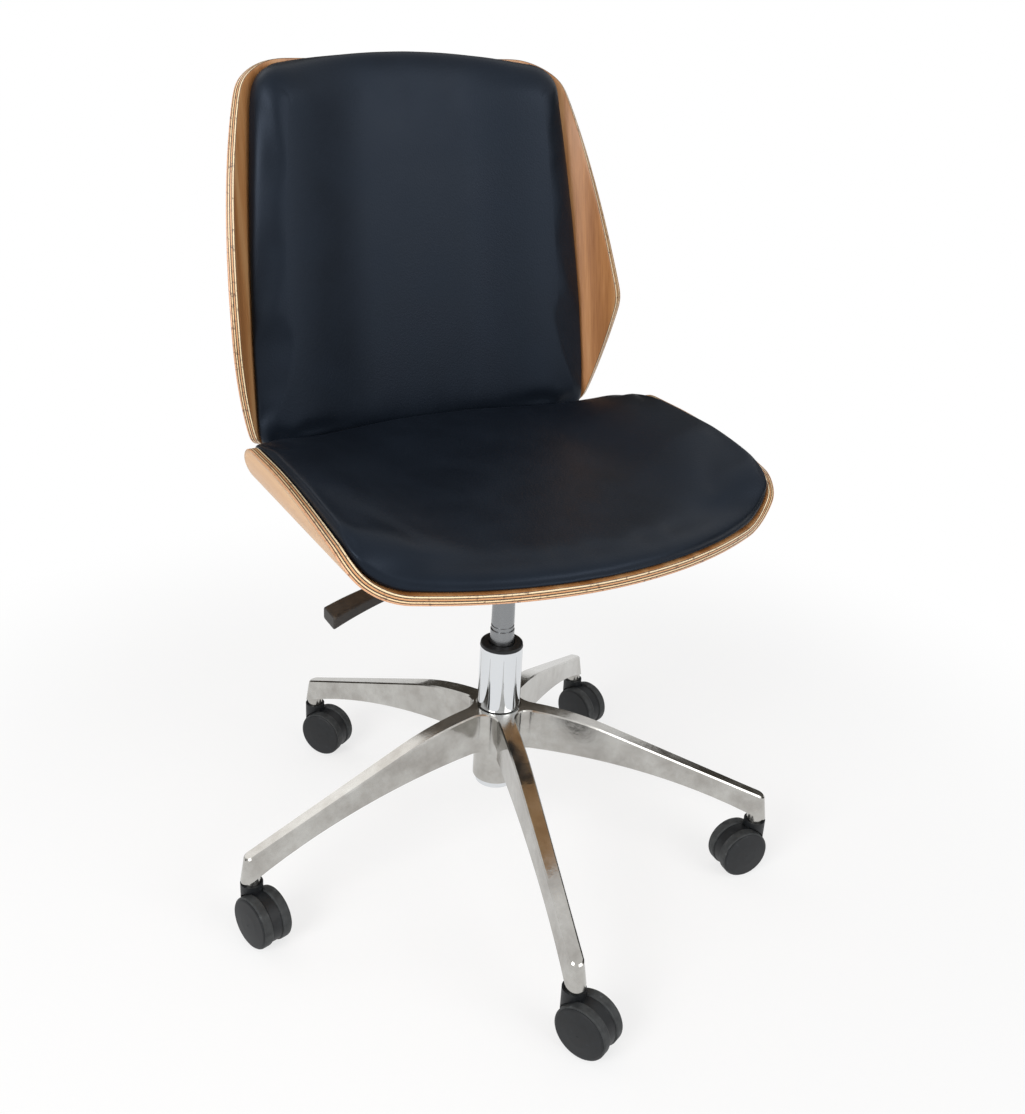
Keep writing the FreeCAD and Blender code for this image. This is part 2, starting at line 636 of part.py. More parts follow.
def wedge_radius(height):
    """Radius of the cylinder's upper wedge."""
    return CYLINDER_RADIUS - GROOVE_DEPTH - (height - CYLINDER_SHOULDER) * TAPER


def make_gas_cylinder():
    head = CYLINDER_TOP - CYLINDER_HEAD
    profile = [(CYLINDER_BORE, CYLINDER_FOOT), (CYLINDER_RADIUS, CYLINDER_FOOT),
               (CYLINDER_RADIUS, CYLINDER_SHOULDER)]
    for ring in range(RING_COUNT):
        low = CYLINDER_SHOULDER + ring * RING_STEP
        high = low + RING_STEP / 2
        profile += [(wedge_radius(low) - RING_DEPTH, low), (wedge_radius(high) - RING_DEPTH, high),
                    (wedge_radius(high), high), (wedge_radius(low + RING_STEP), low + RING_STEP)]
    profile += [(wedge_radius(CYLINDER_TOP), CYLINDER_TOP), (VALVE_RADIUS + RUNNING_FIT, CYLINDER_TOP),
                (VALVE_RADIUS + RUNNING_FIT, head), (CYLINDER_BORE, head)]
    return turned(*profile)


def make_cylinder_gland():
    bore = ROD_RADIUS + RUNNING_FIT
    outer = CYLINDER_BORE - SEAT_FIT
    top = CYLINDER_FOOT + GLAND_LENGTH
    return turned((bore, CYLINDER_FOOT), (outer, CYLINDER_FOOT), (outer, top), (bore, top))


def make_valve_pin():
    foot = CYLINDER_TOP - CYLINDER_HEAD - GROOVE_STEP
    top = CYLINDER_TOP + VALVE_HEIGHT
    edge = VALVE_RADIUS / 5
    return turned((0, foot), (VALVE_RADIUS, foot), (VALVE_RADIUS, top - edge), (VALVE_RADIUS - edge, top),
                  (0, top))


# Seat plate and lever


def make_taper_socket():
    foot = CYLINDER_TOP - SOCKET_LENGTH
    top = CYLINDER_TOP - PAD_GAP
    under = PAN_FLOOR - GROOVE_STEP
    collar = SOCKET_RADIUS + SOCKET_COLLAR
    return turned((wedge_radius(foot) + SEAT_FIT, foot), (SOCKET_RADIUS, foot), (SOCKET_RADIUS, under),
                  (collar, under), (collar, PAN_FLOOR), (SOCKET_RADIUS, PAN_FLOOR),
                  (SOCKET_RADIUS, top), (wedge_radius(top) + SEAT_FIT, top))


def pan_solid(inset, foot, top):
    """Tapered tray: narrower at its floor by the draft."""
    draft = 2 * PAN_DRAFT * (top - foot) / PAN_HEIGHT
    wide = PAN_WIDTH - 2 * inset
    deep = PAN_DEPTH - 2 * inset
    low = rounded_rectangle(wide - draft, deep - draft, PAN_CORNER - inset, foot)
    high = rounded_rectangle(wide, deep, PAN_CORNER - inset, top)
    return Part.makeLoft([low, high], True, True)


def seat_bolt_spots():
    side = PLATE_WIDTH / 2 - BOLT_EDGE
    front = PLATE_DEPTH / 2 - BOLT_EDGE
    return [(sx * side, sy * front) for sx in (-1, 1) for sy in (-1, 1)]


def bracket_bolt_spots():
    side = BRACKET_WIDTH / 2 - BOLT_EDGE
    return [(sx * side, BRACKET_BOLT + row * BRACKET_BOLT_PITCH) for sx in (-1, 1) for row in (0, 1)]


def lever_frame(shape):
    """Takes a lever piece drawn along -X at the valve's axis to its place."""
    shape.rotate(ORIGIN, Z_AXIS, LEVER_ANGLE)
    shape.translate(V(0, 0, LEVER_Z))
    return shape


def make_seat_plate():
    flange = Part.Face(rounded_rectangle(PLATE_WIDTH, PLATE_DEPTH, PLATE_CORNER, PLATE_UNDER))
    plate = flange.extrude(Z_AXIS * PLATE_THICKNESS)
    plate = plate.fuse(pan_solid(0, PAN_FLOOR, SEAT_UNDER))
    plate = plate.cut(pan_solid(PLATE_THICKNESS, PAN_FLOOR + PLATE_THICKNESS, SEAT_UNDER))
    plate = plate.cut(post(SOCKET_RADIUS + SEAT_FIT, PAN_FLOOR, PAN_FLOOR + PLATE_THICKNESS))
    half = LEVER_SLOT_WIDTH / 2
    corner = V(-PAN_WIDTH - LEVER_PIVOT, -half, -LEVER_SLOT / 2)
    slot = Part.makeBox(PAN_WIDTH, LEVER_SLOT_WIDTH, LEVER_SLOT, corner)
    plate = plate.cut(lever_frame(slot))
    for x, y in seat_bolt_spots():
        plate = plate.cut(post(BOLT_RADIUS + SIDE_GAP, PLATE_UNDER, SEAT_UNDER, x, y))
    return plate.removeSplitter()


def make_lever_bracket():
    """Two cheeks on the pan's floor that carry the lever's pin."""
    foot = PAN_FLOOR + PLATE_THICKNESS - LEVER_Z
    top = CHEEK_WIDTH / 2
    inner = LEVER_RADIUS + SIDE_GAP
    outer = inner + CHEEK_THICKNESS
    left = -LEVER_PIVOT - CHEEK_WIDTH / 2
    bracket = Part.makeBox(CHEEK_WIDTH, 2 * outer, top - foot, V(left, -outer, foot))
    gap = Part.makeBox(CHEEK_WIDTH, 2 * inner, top - foot, V(left, -inner, foot + CHEEK_THICKNESS))
    bracket = bracket.cut(gap)
    rims = [e for e in bracket.Edges if e.BoundBox.ZMin > 0 and e.BoundBox.YLength < outer]
    rims = [e for e in rims if e.BoundBox.XLength < PIN_RADIUS]
    bracket = bracket.makeFillet(CHEEK_WIDTH / 3, rims)
    bracket = bracket.cut(across(PIN_RADIUS + SEAT_FIT, -outer, outer, -LEVER_PIVOT, 0))
    return lever_frame(bracket)


def make_lever_pin():
    reach = LEVER_RADIUS + SIDE_GAP + CHEEK_THICKNESS
    return lever_frame(across(PIN_RADIUS, -reach, reach, -LEVER_PIVOT, 0))


def make_lever_rod():
    rod = Part.makeCylinder(LEVER_RADIUS, LEVER_REACH + LEVER_TAIL, V(LEVER_TAIL, 0, 0), V(-1, 0, 0))
    rod = rod.cut(across(PIN_RADIUS + RUNNING_FIT, -2 * LEVER_RADIUS, 2 * LEVER_RADIUS, -LEVER_PIVOT, 0))
    return lever_frame(rod)


def handle_section(share, near, far, height):
    """Rounded rectangle across the handle, a share of the way along it, drooping towards its end."""
    wire = rounded_rectangle(near + far, height, HANDLE_EDGE, 0)
    wire.rotate(ORIGIN, X_AXIS, 90)
    wire.rotate(ORIGIN, Z_AXIS, 90)
    reach = HANDLE_START + share * (HANDLE_END - HANDLE_START)
    wire.translate(V(-reach, (far - near) / 2, -HANDLE_DROOP * share * share))
    return wire


def make_lever_handle():
    rows = zip(HANDLE_SHARES, HANDLE_NEAR, HANDLE_FAR, HANDLE_HEIGHTS)
    handle = Part.makeLoft([handle_section(*row) for row in rows], True, False)
    corner = V(-HANDLE_END, -HANDLE_NEAR[-1], 0)
    waste = Part.makeBox(HANDLE_END, HANDLE_END, HANDLE_END, V(-HANDLE_END, -HANDLE_END / 2, -HANDLE_END / 2))
    waste.rotate(ORIGIN, Z_AXIS, -HANDLE_SKEW)
    waste.translate(corner)
    handle = handle.cut(waste)
    across_end = polar(1, -HANDLE_SKEW)
    rims = [e for e in handle.Edges
            if all(abs((v.Point - corner).dot(across_end)) < SEAT_FIT for v in e.Vertexes)]
    handle = handle.makeFillet(HANDLE_END_EDGE, rims)
    socket = Part.makeCylinder(LEVER_RADIUS + SEAT_FIT, LEVER_REACH - HANDLE_START + SIDE_GAP,
                               V(-HANDLE_START, 0, 0), V(-1, 0, 0))
    return lever_frame(handle.cut(socket))


# Bent-ply shells: a channel with round bends, trimmed by its edges


def channel_side(flat, bend, offset, rise, sign):
    """Points of one side of a channel at an offset outside its inner face, from the flat to the top."""
    radius = bend + offset
    lean = math.sqrt(0.5)
    start = V(sign * flat, 0, -offset)
    through = V(sign * (flat + radius * lean), 0, bend - radius * lean)
    end = V(sign * (flat + radius), 0, bend)
    return start, through, end, V(sign * (flat + radius), 0, rise)


def channel_face(flat, bend, rise, thickness):
    """Section of a bent sheet in the XZ plane, its inner face at height 0."""
    left_in = channel_side(flat, bend, 0, rise, -1)
    right_in = channel_side(flat, bend, 0, rise, 1)
    left_out = channel_side(flat, bend, thickness, rise, -1)
    right_out = channel_side(flat, bend, thickness, rise, 1)
    return outline(left_in[0], right_in[0], (right_in[1], right_in[2]), right_in[3], right_out[3],
                   right_out[2], (right_out[1], right_out[0]), left_out[0], (left_out[1], left_out[2]),
                   left_out[3], left_in[3], left_in[2], (left_in[1], left_in[0]))


def sag(radius, half):
    """How far an arc falls back at half its chord."""
    return radius - math.sqrt(radius * radius - half * half)


def seat_plan(inset, foot, top):
    """Upright prism of the seat's curved front and rear edges."""
    half = SEAT_HALF + SEAT_PLY + OVERSHOOT
    front = inset - SEAT_FRONT
    rear = SEAT_REAR - inset
    front_side = front + sag(FRONT_EDGE_RADIUS, half)
    rear_side = rear - sag(REAR_EDGE_RADIUS, half)
    start = V(-half, front_side, foot)
    face = outline(start, (V(0, front, foot), V(half, front_side, foot)), V(half, rear_side, foot),
                   (V(0, rear, foot), V(-half, rear_side, foot)), start)
    return face.extrude(Z_AXIS * (top - foot))


def seat_profile(raise_by, inset, floor):
    """Sideways prism under the wings' upper edges, seen from the side, never lower than a floor."""
    half = SEAT_HALF + SEAT_PLY + OVERSHOOT
    front = -SEAT_FRONT - OVERSHOOT
    behind = SEAT_REAR + OVERSHOOT
    low = SEAT_UNDER - OVERSHOOT
    top = SEAT_FACE + SEAT_WING + raise_by
    sweep = inset - WING_SWEEP_START
    shoulder = inset - WING_SHOULDER
    shoulder_top = top - WING_SHOULDER_DROP
    bow = WING_SHOULDER_BOW
    swell = V(-half, (sweep + shoulder) / 2 - bow, (floor + shoulder_top) / 2 + bow)
    crest = V(-half, WING_CREST, top)
    rise = V(-half, (shoulder + WING_CREST) / 2, (shoulder_top + top) / 2 + WING_TOP_BOW)
    rear = SEAT_REAR - sag(REAR_EDGE_RADIUS, SEAT_HALF) - inset
    radius = min(WING_REAR_RADIUS, top - floor)
    cut = radius * (1 - math.sqrt(0.5))
    corner_end = V(-half, rear, top - radius)
    steps = [V(-half, front, floor), V(-half, sweep, floor), (swell, V(-half, shoulder, shoulder_top)),
             (rise, crest), V(-half, rear - radius, top), (V(-half, rear - cut, top - cut), corner_end),
             V(-half, rear + radius, floor), V(-half, behind, floor), V(-half, behind, low)]
    start = V(-half, front, low)
    return outline(start, *steps, start).extrude(X_AXIS * 2 * half)


def insert_cuts(shape, ply, spots, to_place):
    """Cuts the screw inserts' barrels and flange seats out of a shell."""
    for x, y in spots:
        barrel = post(INSERT_RADIUS + SEAT_FIT, -ply, 0, x, y)
        seat = post(INSERT_FLANGE_RADIUS + SEAT_FIT, -INSERT_FLANGE - SEAT_FIT, 0, x, y)
        shape = shape.cut(to_place(barrel.fuse(seat)))
    return shape


def on_seat(shape):
    """Takes a piece drawn on a ply face at height 0 to the seat."""
    shape.translate(V(0, 0, SEAT_FACE))
    return shape


def make_seat_shell():
    section = channel_face(SEAT_FLAT, SEAT_BEND, SEAT_WING + OVERSHOOT, SEAT_PLY)
    length = SEAT_FRONT + SEAT_REAR
    shell = section.extrude(Y_AXIS * length)
    shell.translate(V(0, -SEAT_FRONT, SEAT_FACE))
    shell = shell.common(seat_plan(0, SEAT_UNDER - OVERSHOOT, SEAT_FACE + 2 * SEAT_WING))
    shell = shell.common(seat_profile(0, 0, SEAT_FACE + SEAT_STEP))
    return insert_cuts(shell, SEAT_PLY, seat_bolt_spots() + bracket_bolt_spots(), on_seat)


def recline(shape):
    """Takes a back piece drawn upright, its ply face on the XZ plane and its front at -Y, to its place."""
    shape.rotate(ORIGIN, X_AXIS, -RECLINE)
    shape.translate(V(0, BACK_FOOT_Y, BACK_FOOT_Z))
    return shape


def stand_up(shape):
    """Turns a piece drawn flat so that its upper side faces -Y and its +Y end points up."""
    shape.rotate(ORIGIN, X_AXIS, 90)
    return shape


def on_back(shape):
    """Takes a piece drawn on a ply face at height 0 to the back."""
    return recline(stand_up(shape))


def mirrored(point):
    return V(-point.x, point.y, point.z)


def back_front_outline():
    """Front view of the back shell, a straight top and foot with round corners, as a prism."""
    front = -2 * BACK_WING_PEAK
    wide = BACK_HALF + BACK_PLY + OVERSHOOT
    corner = BACK_HEIGHT - BACK_CORNER_DROP
    corner_half = BACK_HALF - BACK_CORNER_INSET
    top_half = BACK_HALF - BACK_TOP_INSET
    foot_half = BACK_HALF - BACK_FOOT_INSET
    foot_end = V(foot_half, front, 0)
    foot_bow = V(foot_half + BACK_FOOT_CORNER * BACK_FOOT_BOW, front, BACK_FOOT_RISE * (1 - BACK_FOOT_BOW))
    foot_side = V(foot_half + BACK_FOOT_CORNER, front, BACK_FOOT_RISE)
    low_side = V(wide, front, 2 * BACK_FOOT_RISE)
    high_side = V(wide, front, corner - BACK_FOOT_CORNER)
    corner_end = V(corner_half, front, corner)
    corner_bow = V((corner_half + top_half) / 2 + BACK_CORNER_BOW, front,
                   (corner + BACK_HEIGHT) / 2 + BACK_CORNER_BOW)
    top_end = V(top_half, front, BACK_HEIGHT)
    right = [foot_end, (foot_bow, foot_side), low_side, high_side, corner_end, (corner_bow, top_end)]
    left = [mirrored(top_end), (mirrored(corner_bow), mirrored(corner_end)), mirrored(high_side),
            mirrored(low_side), mirrored(foot_side), (mirrored(foot_bow), mirrored(foot_end))]
    return outline(mirrored(foot_end), *right, *left).extrude(Y_AXIS * 3 * BACK_WING_PEAK)


def back_side_outline():
    """Side view of the back shell: wings that deepen to a round peak low down, as a prism."""
    wide = BACK_HALF + BACK_PLY + OVERSHOOT
    peak = V(-wide, -BACK_WING_PEAK, BACK_PEAK_HEIGHT)
    foot = V(-wide, -BACK_WING_FOOT, 0)
    tip = V(-wide, -BACK_WING_TOP, BACK_HEIGHT)
    down = (foot - peak).normalize()
    up = (tip - peak).normalize()
    half_turn = (math.pi - down.getAngle(up)) / 2
    reach = BACK_PEAK_RADIUS * math.tan(half_turn)
    inward = (down + up).normalize()
    nose = peak + inward * (BACK_PEAK_RADIUS / math.cos(half_turn) - BACK_PEAK_RADIUS)
    behind = BACK_PLY + OVERSHOOT
    below = foot + down * OVERSHOOT
    above = tip + up * OVERSHOOT
    face = outline(V(-wide, behind, below.z), below, peak + down * reach, (nose, peak + up * reach), above,
                   V(-wide, behind, above.z), V(-wide, behind, below.z))
    return face.extrude(X_AXIS * 2 * wide)


def back_bolt_spots():
    heights = (BACK_BOLT_TOP - BACK_BOLT_PITCH, BACK_BOLT_TOP)
    return [(sx * BACK_BOLT_SIDE, height) for sx in (-1, 1) for height in heights]


def make_back_shell():
    section = channel_face(BACK_FLAT, BACK_BEND, BACK_BEND + OVERSHOOT, BACK_PLY)
    shell = stand_up(section.extrude(Y_AXIS * BACK_HEIGHT))
    shell = shell.common(back_front_outline()).common(back_side_outline())
    return insert_cuts(recline(shell), BACK_PLY, back_bolt_spots(), on_back)


# Pads: a filled channel, dished by a shallow bucket, with a rolled rim


def dish(flat, depth, half, rim, length):
    """Bucket-shaped tool along Y: flat in the middle and rising on arcs to the rim at its half width."""
    rise = rim - depth
    run = half - flat
    radius = (run * run + rise * rise) / (2 * rise)
    turn = math.asin(run / radius)
    through = V(flat + radius * math.sin(turn / 2), 0, depth + radius * (1 - math.cos(turn / 2)))
    edge = V(half, 0, rim)
    high = edge + V(math.cos(turn), 0, math.sin(turn)) * 3 * half
    start = V(flat, 0, depth)
    face = outline(start, (through, edge), high, mirrored(high), mirrored(edge),
                   (mirrored(through), mirrored(start)), start)
    face.translate(Y_AXIS * (-length / 2))
    return face.extrude(Y_AXIS * length)


def channel_fill(flat, bend, rise, length):
    """Solid along +Y that fills a bent sheet's channel to a height, clear of the sheet by the pad's gap."""
    left = channel_side(flat, bend, -PAD_GAP, rise, -1)
    right = channel_side(flat, bend, -PAD_GAP, rise, 1)
    face = outline(left[0], right[0], (right[1], right[2]), right[3], left[3], left[2], (left[1], left[0]))
    return face.extrude(Y_AXIS * length)


def edge_turn(edge, faces):
    """Angle in degrees between the two faces that meet at an edge, 0 where they run on smoothly."""
    middle = edge.valueAt((edge.FirstParameter + edge.LastParameter) / 2)
    normals = [face.normalAt(*face.Surface.parameter(middle)) for face in faces]
    return math.degrees(normals[0].getAngle(normals[1]))


def rolled(pad, radius, on_sheet):
    """Rounds every sharp edge of a pad that no face on its sheet meets."""
    rims = []
    for edge in pad.Edges:
        faces = pad.ancestorsOfType(edge, Part.Face)
        sharp = len(faces) == 2 and edge_turn(edge, faces) > SHARP_TURN
        if sharp and not any(on_sheet(face) for face in faces):
            rims.append(edge)
    return pad.makeFillet(radius, rims)


def blend(low, high, share):
    return low + (high - low) * share


def seat_pad_section(x):
    """Lengthwise section of the seat pad, deeper than the ply: rolled front, dished top and rolled rear."""
    side = abs(x)
    rim = SEAT_HALF - SEAT_PAD_RIM
    share = 0.0
    if side > SEAT_PAD_FLAT:
        share = min(1.0, ((side - SEAT_PAD_FLAT) / (rim - SEAT_PAD_FLAT)) ** 2)
    fall = 0.0
    nook = 0.0
    if side > rim:
        across_rim = NEAR_QUARTER * (side - rim) / SEAT_PAD_RIM
        fall = sag(SEAT_PAD_RIM, SEAT_PAD_RIM * across_rim)
        nook = sag(SEAT_PAD_CORNER, SEAT_PAD_CORNER * across_rim)
    front = SEAT_PAD_INSET - SEAT_FRONT + sag(FRONT_EDGE_RADIUS, side) + nook
    rear = SEAT_REAR - SEAT_PAD_INSET - sag(REAR_EDGE_RADIUS, side)
    front_roll = SEAT_PAD_FRONT_ROLL
    rear_roll = blend(SEAT_PAD_REAR_ROLL, SEAT_PAD_RIM, share)
    top = SEAT_FACE - fall
    front_top = top + blend(SEAT_PAD_FRONT, SEAT_WING + SEAT_PAD_PROUD - WING_SHOULDER_DROP, share)
    middle_top = top + blend(SEAT_PAD, SEAT_WING + SEAT_PAD_PROUD - WING_TOP_BOW, share)
    rear_top = top + blend(SEAT_PAD_REAR, SEAT_WING + SEAT_PAD_PROUD - SEAT_PAD_REAR_DROP, share)
    low = SEAT_FACE - OVERSHOOT
    lean = 1 - math.sqrt(0.5)
    front_through = V(x, front + front_roll * lean, front_top - front_roll * lean)
    rear_through = V(x, rear - rear_roll * lean, rear_top - rear_roll * lean)
    start = V(x, front, low)
    return Part.Wire(edges_of(start, [
        V(x, front, front_top - front_roll), (front_through, V(x, front + front_roll, front_top)),
        (V(x, 0, middle_top), V(x, rear - rear_roll, rear_top)),
        (rear_through, V(x, rear, rear_top - rear_roll)), V(x, rear, low), start]))


def make_seat_pad():
    """Bucket pad lofted from wing to wing, then trimmed to the ply's inner face."""
    rim = SEAT_HALF - SEAT_PAD_RIM
    stations = [0.0, SEAT_PAD_FLAT / 2, SEAT_PAD_FLAT]
    stations += [blend(SEAT_PAD_FLAT, rim, share) for share in SIDE_STATIONS]
    stations += [blend(rim, SEAT_HALF, share) for share in RIM_STATIONS]
    sections = [seat_pad_section(x) for x in [-x for x in reversed(stations[1:])] + stations]
    pad = Part.makeLoft(sections, True, False)
    fill = channel_fill(SEAT_FLAT, SEAT_BEND, 2 * SEAT_WING, SEAT_FRONT + SEAT_REAR)
    fill.translate(V(0, -SEAT_FRONT, SEAT_FACE))
    return pad.common(fill)


def back_disc(radius, x, height):
    """Thick disc across the back, its axis fore and aft."""
    depth = 4 * BACK_WING_PEAK
    return Part.makeCylinder(radius, depth, V(x, -depth / 2, height), Y_AXIS)


def back_pad_outline():
    """Front view of the back pad, as a prism: arched top, slightly bowed sides and round corners."""
    arch = (BACK_PAD_TOP_HALF ** 2 + BACK_PAD_TOP_SAG ** 2) / (2 * BACK_PAD_TOP_SAG)
    depth = 4 * BACK_WING_PEAK
    offset = BACK_PAD_SIDE_RADIUS - BACK_PAD_HALF
    corner = V(-2 * BACK_PAD_HALF, -depth / 2, BACK_PAD_FOOT)
    prism = Part.makeBox(4 * BACK_PAD_HALF, depth, BACK_PAD_TOP, corner)
    prism = prism.common(back_disc(arch, 0, BACK_PAD_TOP - arch))
    for x in (-offset, offset):
        prism = prism.common(back_disc(BACK_PAD_SIDE_RADIUS, x, BACK_PAD_WIDEST))
    for radius, is_low in ((BACK_PAD_TOP_CORNER, False), (BACK_PAD_LOW_CORNER, True)):
        corners = [e for e in prism.Edges if e.BoundBox.YLength > depth - OVERSHOOT]
        corners = [e for e in corners if abs(e.BoundBox.Center.x) > OVERSHOOT]
        corners = [e for e in corners if (e.BoundBox.ZMax < BACK_PAD_FOOT + OVERSHOOT) == is_low]
        corners = [e for e in corners if edge_turn(e, prism.ancestorsOfType(e, Part.Face)) > SHARP_TURN]
        prism = prism.makeFillet(radius, corners)
    return prism


def on_back_sheet(face):
    """True for a face that lies against the back shell, while it stands upright."""
    surface = face.Surface
    if isinstance(surface, Part.Cylinder):
        return abs(surface.Radius - BACK_BEND + PAD_GAP) < SEAT_FIT
    upright = isinstance(surface, Part.Plane) and face.BoundBox.YLength < SEAT_FIT
    return upright and face.BoundBox.YMin > -OVERSHOOT


def make_back_pad():
    """Pad dished towards the wings, with a rolled edge all round."""
    pad = stand_up(channel_fill(BACK_FLAT, BACK_BEND, BACK_BEND + OVERSHOOT, BACK_PAD_TOP + OVERSHOOT))
    pad = pad.common(back_pad_outline())
    tool = dish(BACK_PAD_FLAT, BACK_PAD, BACK_PAD_HALF, BACK_PAD_EDGE, 4 * BACK_PAD_TOP)
    pad = rolled(pad.cut(stand_up(tool)), BACK_PAD_ROLL, on_back_sheet)
    return recline(pad)


# Back bracket and screws


def back_point(height, forward):
    """Point of the chair's middle plane at a height along the back and a distance before its ply face."""
    tilt = math.radians(RECLINE)
    return V(0, BACK_FOOT_Y + height * math.sin(tilt) - forward * math.cos(tilt),
             BACK_FOOT_Z + height * math.cos(tilt) + forward * math.sin(tilt))


def make_back_bracket():
    """Flat bar under the seat that bends up behind the back shell."""
    tilt = math.radians(RECLINE)
    foot = back_point(0, -BACK_PLY)
    up = V(0, math.sin(tilt), math.cos(tilt))
    behind = V(0, math.cos(tilt), -math.sin(tilt))
    corner = foot - up * ((foot.z - SEAT_UNDER) / up.z)
    run = BRACKET_BEND * math.tan((math.pi / 2 - tilt) / 2)
    flat_end = corner - Y_AXIS * run
    rise_start = corner + up * run
    rise_end = foot + up * BRACKET_RISE
    centre = flat_end + Z_AXIS * BRACKET_BEND
    lean = (behind - Z_AXIS).normalize()
    inner = centre + lean * BRACKET_BEND
    outer = centre + lean * (BRACKET_BEND + BRACKET_THICKNESS)
    down = Z_AXIS * -BRACKET_THICKNESS
    back = behind * BRACKET_THICKNESS
    start = V(0, BRACKET_START, SEAT_UNDER)
    face = outline(start, flat_end, (inner, rise_start), rise_end, rise_end + back, rise_start + back,
                   (outer, flat_end + down), start + down, start)
    face.translate(X_AXIS * (-BRACKET_WIDTH / 2))
    bracket = face.extrude(X_AXIS * BRACKET_WIDTH)
    corners = [e for e in bracket.Edges if abs(e.Length - BRACKET_THICKNESS) < SEAT_FIT and is_straight(e)]
    front = [e for e in corners if e.BoundBox.YMin < BRACKET_START + SEAT_FIT]
    top = [e for e in corners if e.BoundBox.ZMax > rise_end.z - OVERSHOOT]
    bracket = bracket.makeFillet(BRACKET_CORNER, front + top)
    bore = BOLT_RADIUS + SIDE_GAP
    for x, y in bracket_bolt_spots():
        bracket = bracket.cut(post(bore, SEAT_UNDER - 2 * BRACKET_THICKNESS, SEAT_UNDER + SIDE_GAP, x, y))
    for x, height in back_bolt_spots():
        hole = on_back(post(bore, -BACK_PLY - 2 * BRACKET_THICKNESS, SIDE_GAP - BACK_PLY, x, height))
        bracket = bracket.cut(hole)
    return bracket


def is_straight(edge):
    return isinstance(edge.Curve, Part.Line)


def bolt(x, y, ply, grip):
    """Domed bolt that comes up through a plate of some grip into a ply, whose padded face is at height 0."""
    under = -ply - grip
    head = Part.makeSphere(BOLT_DOME, V(0, 0, under + BOLT_DOME - BOLT_HEAD))
    head = head.common(post(BOLT_HEAD_RADIUS, under - BOLT_HEAD, under))
    head = head.cut(post(BOLT_SOCKET, under - 2 * BOLT_HEAD, under - BOLT_HEAD / 3))
    shank = post(BOLT_RADIUS, under, -INSERT_FLANGE)
    whole = head.fuse(shank).removeSplitter()
    whole.translate(V(x, y, 0))
    return whole


def insert(x, y, ply):
    """Flanged nut let into a ply from its padded face at height 0."""
    body = post(INSERT_RADIUS, -ply, 0).fuse(post(INSERT_FLANGE_RADIUS, -INSERT_FLANGE, 0))
    body = body.cut(post(BOLT_RADIUS + SEAT_FIT, -ply, 0)).removeSplitter()
    body.translate(V(x, y, 0))
    return body


def bolts(spots, ply, grip, to_place):
    return to_place(Part.makeCompound([bolt(x, y, ply, grip) for x, y in spots]))


def inserts(spots, ply, to_place):
    return to_place(Part.makeCompound([insert(x, y, ply) for x, y in spots]))


def all_nodes():
    nodes = {
        "star_base": make_star_base(),
        "caster_stems": make_caster_stems(),
        "column_tube": make_column_tube(),
        "guide_bush": make_guide_bush(),
        "lower_race": race(COLUMN_FOOT + COLUMN_FLOOR),
        "thrust_balls": make_thrust_balls(),
        "upper_race": race(UPPER_RACE),
        "piston_rod": make_piston_rod(),
        "rod_clip": make_rod_clip(),
        "bump_stop": make_bump_stop(),
        "piston": make_piston(),
        "gas_cylinder": make_gas_cylinder(),
        "cylinder_gland": make_cylinder_gland(),
        "valve_pin": make_valve_pin(),
        "taper_socket": make_taper_socket(),
        "seat_plate": make_seat_plate(),
        "lever_bracket": make_lever_bracket(),
        "lever_pin": make_lever_pin(),
        "lever_rod": make_lever_rod(),
        "lever_handle": make_lever_handle(),
        "seat_shell": make_seat_shell(),
        "seat_pad": make_seat_pad(),
        "back_shell": make_back_shell(),
        "back_pad": make_back_pad(),
        "back_bracket": make_back_bracket(),
        "seat_bolts": bolts(seat_bolt_spots(), SEAT_PLY, PLATE_THICKNESS, on_seat),
        "seat_inserts": inserts(seat_bolt_spots() + bracket_bolt_spots(), SEAT_PLY, on_seat),
        "bracket_bolts": bolts(bracket_bolt_spots(), SEAT_PLY, BRACKET_THICKNESS, on_seat),
        "back_bolts": bolts(back_bolt_spots(), BACK_PLY, BRACKET_THICKNESS, on_back),
        "back_inserts": inserts(back_bolt_spots(), BACK_PLY, on_back),
    }
    nodes.update(caster_nodes())
    return nodes


def main():
    os.makedirs("parts", exist_ok=True)
    for name, shape in all_nodes().items():
        state = "" if shape.isValid() else "INVALID"
        print(f"{name}: {len(shape.Solids)} solids, {shape.Volume / 1000:.1f} cm3 {state}")
        shape.exportStep(f"parts/{name}.step")


main()
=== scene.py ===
"""Looks of an armless swivel office chair: bent-ply shells, leatherette pads, chrome lift, polished base.

Metres, +Z up. The origin is on the floor under the column, and the sitter faces -Y.
"""
import bpy
import json
import math
import numpy as np
from mathutils import Matrix, Vector


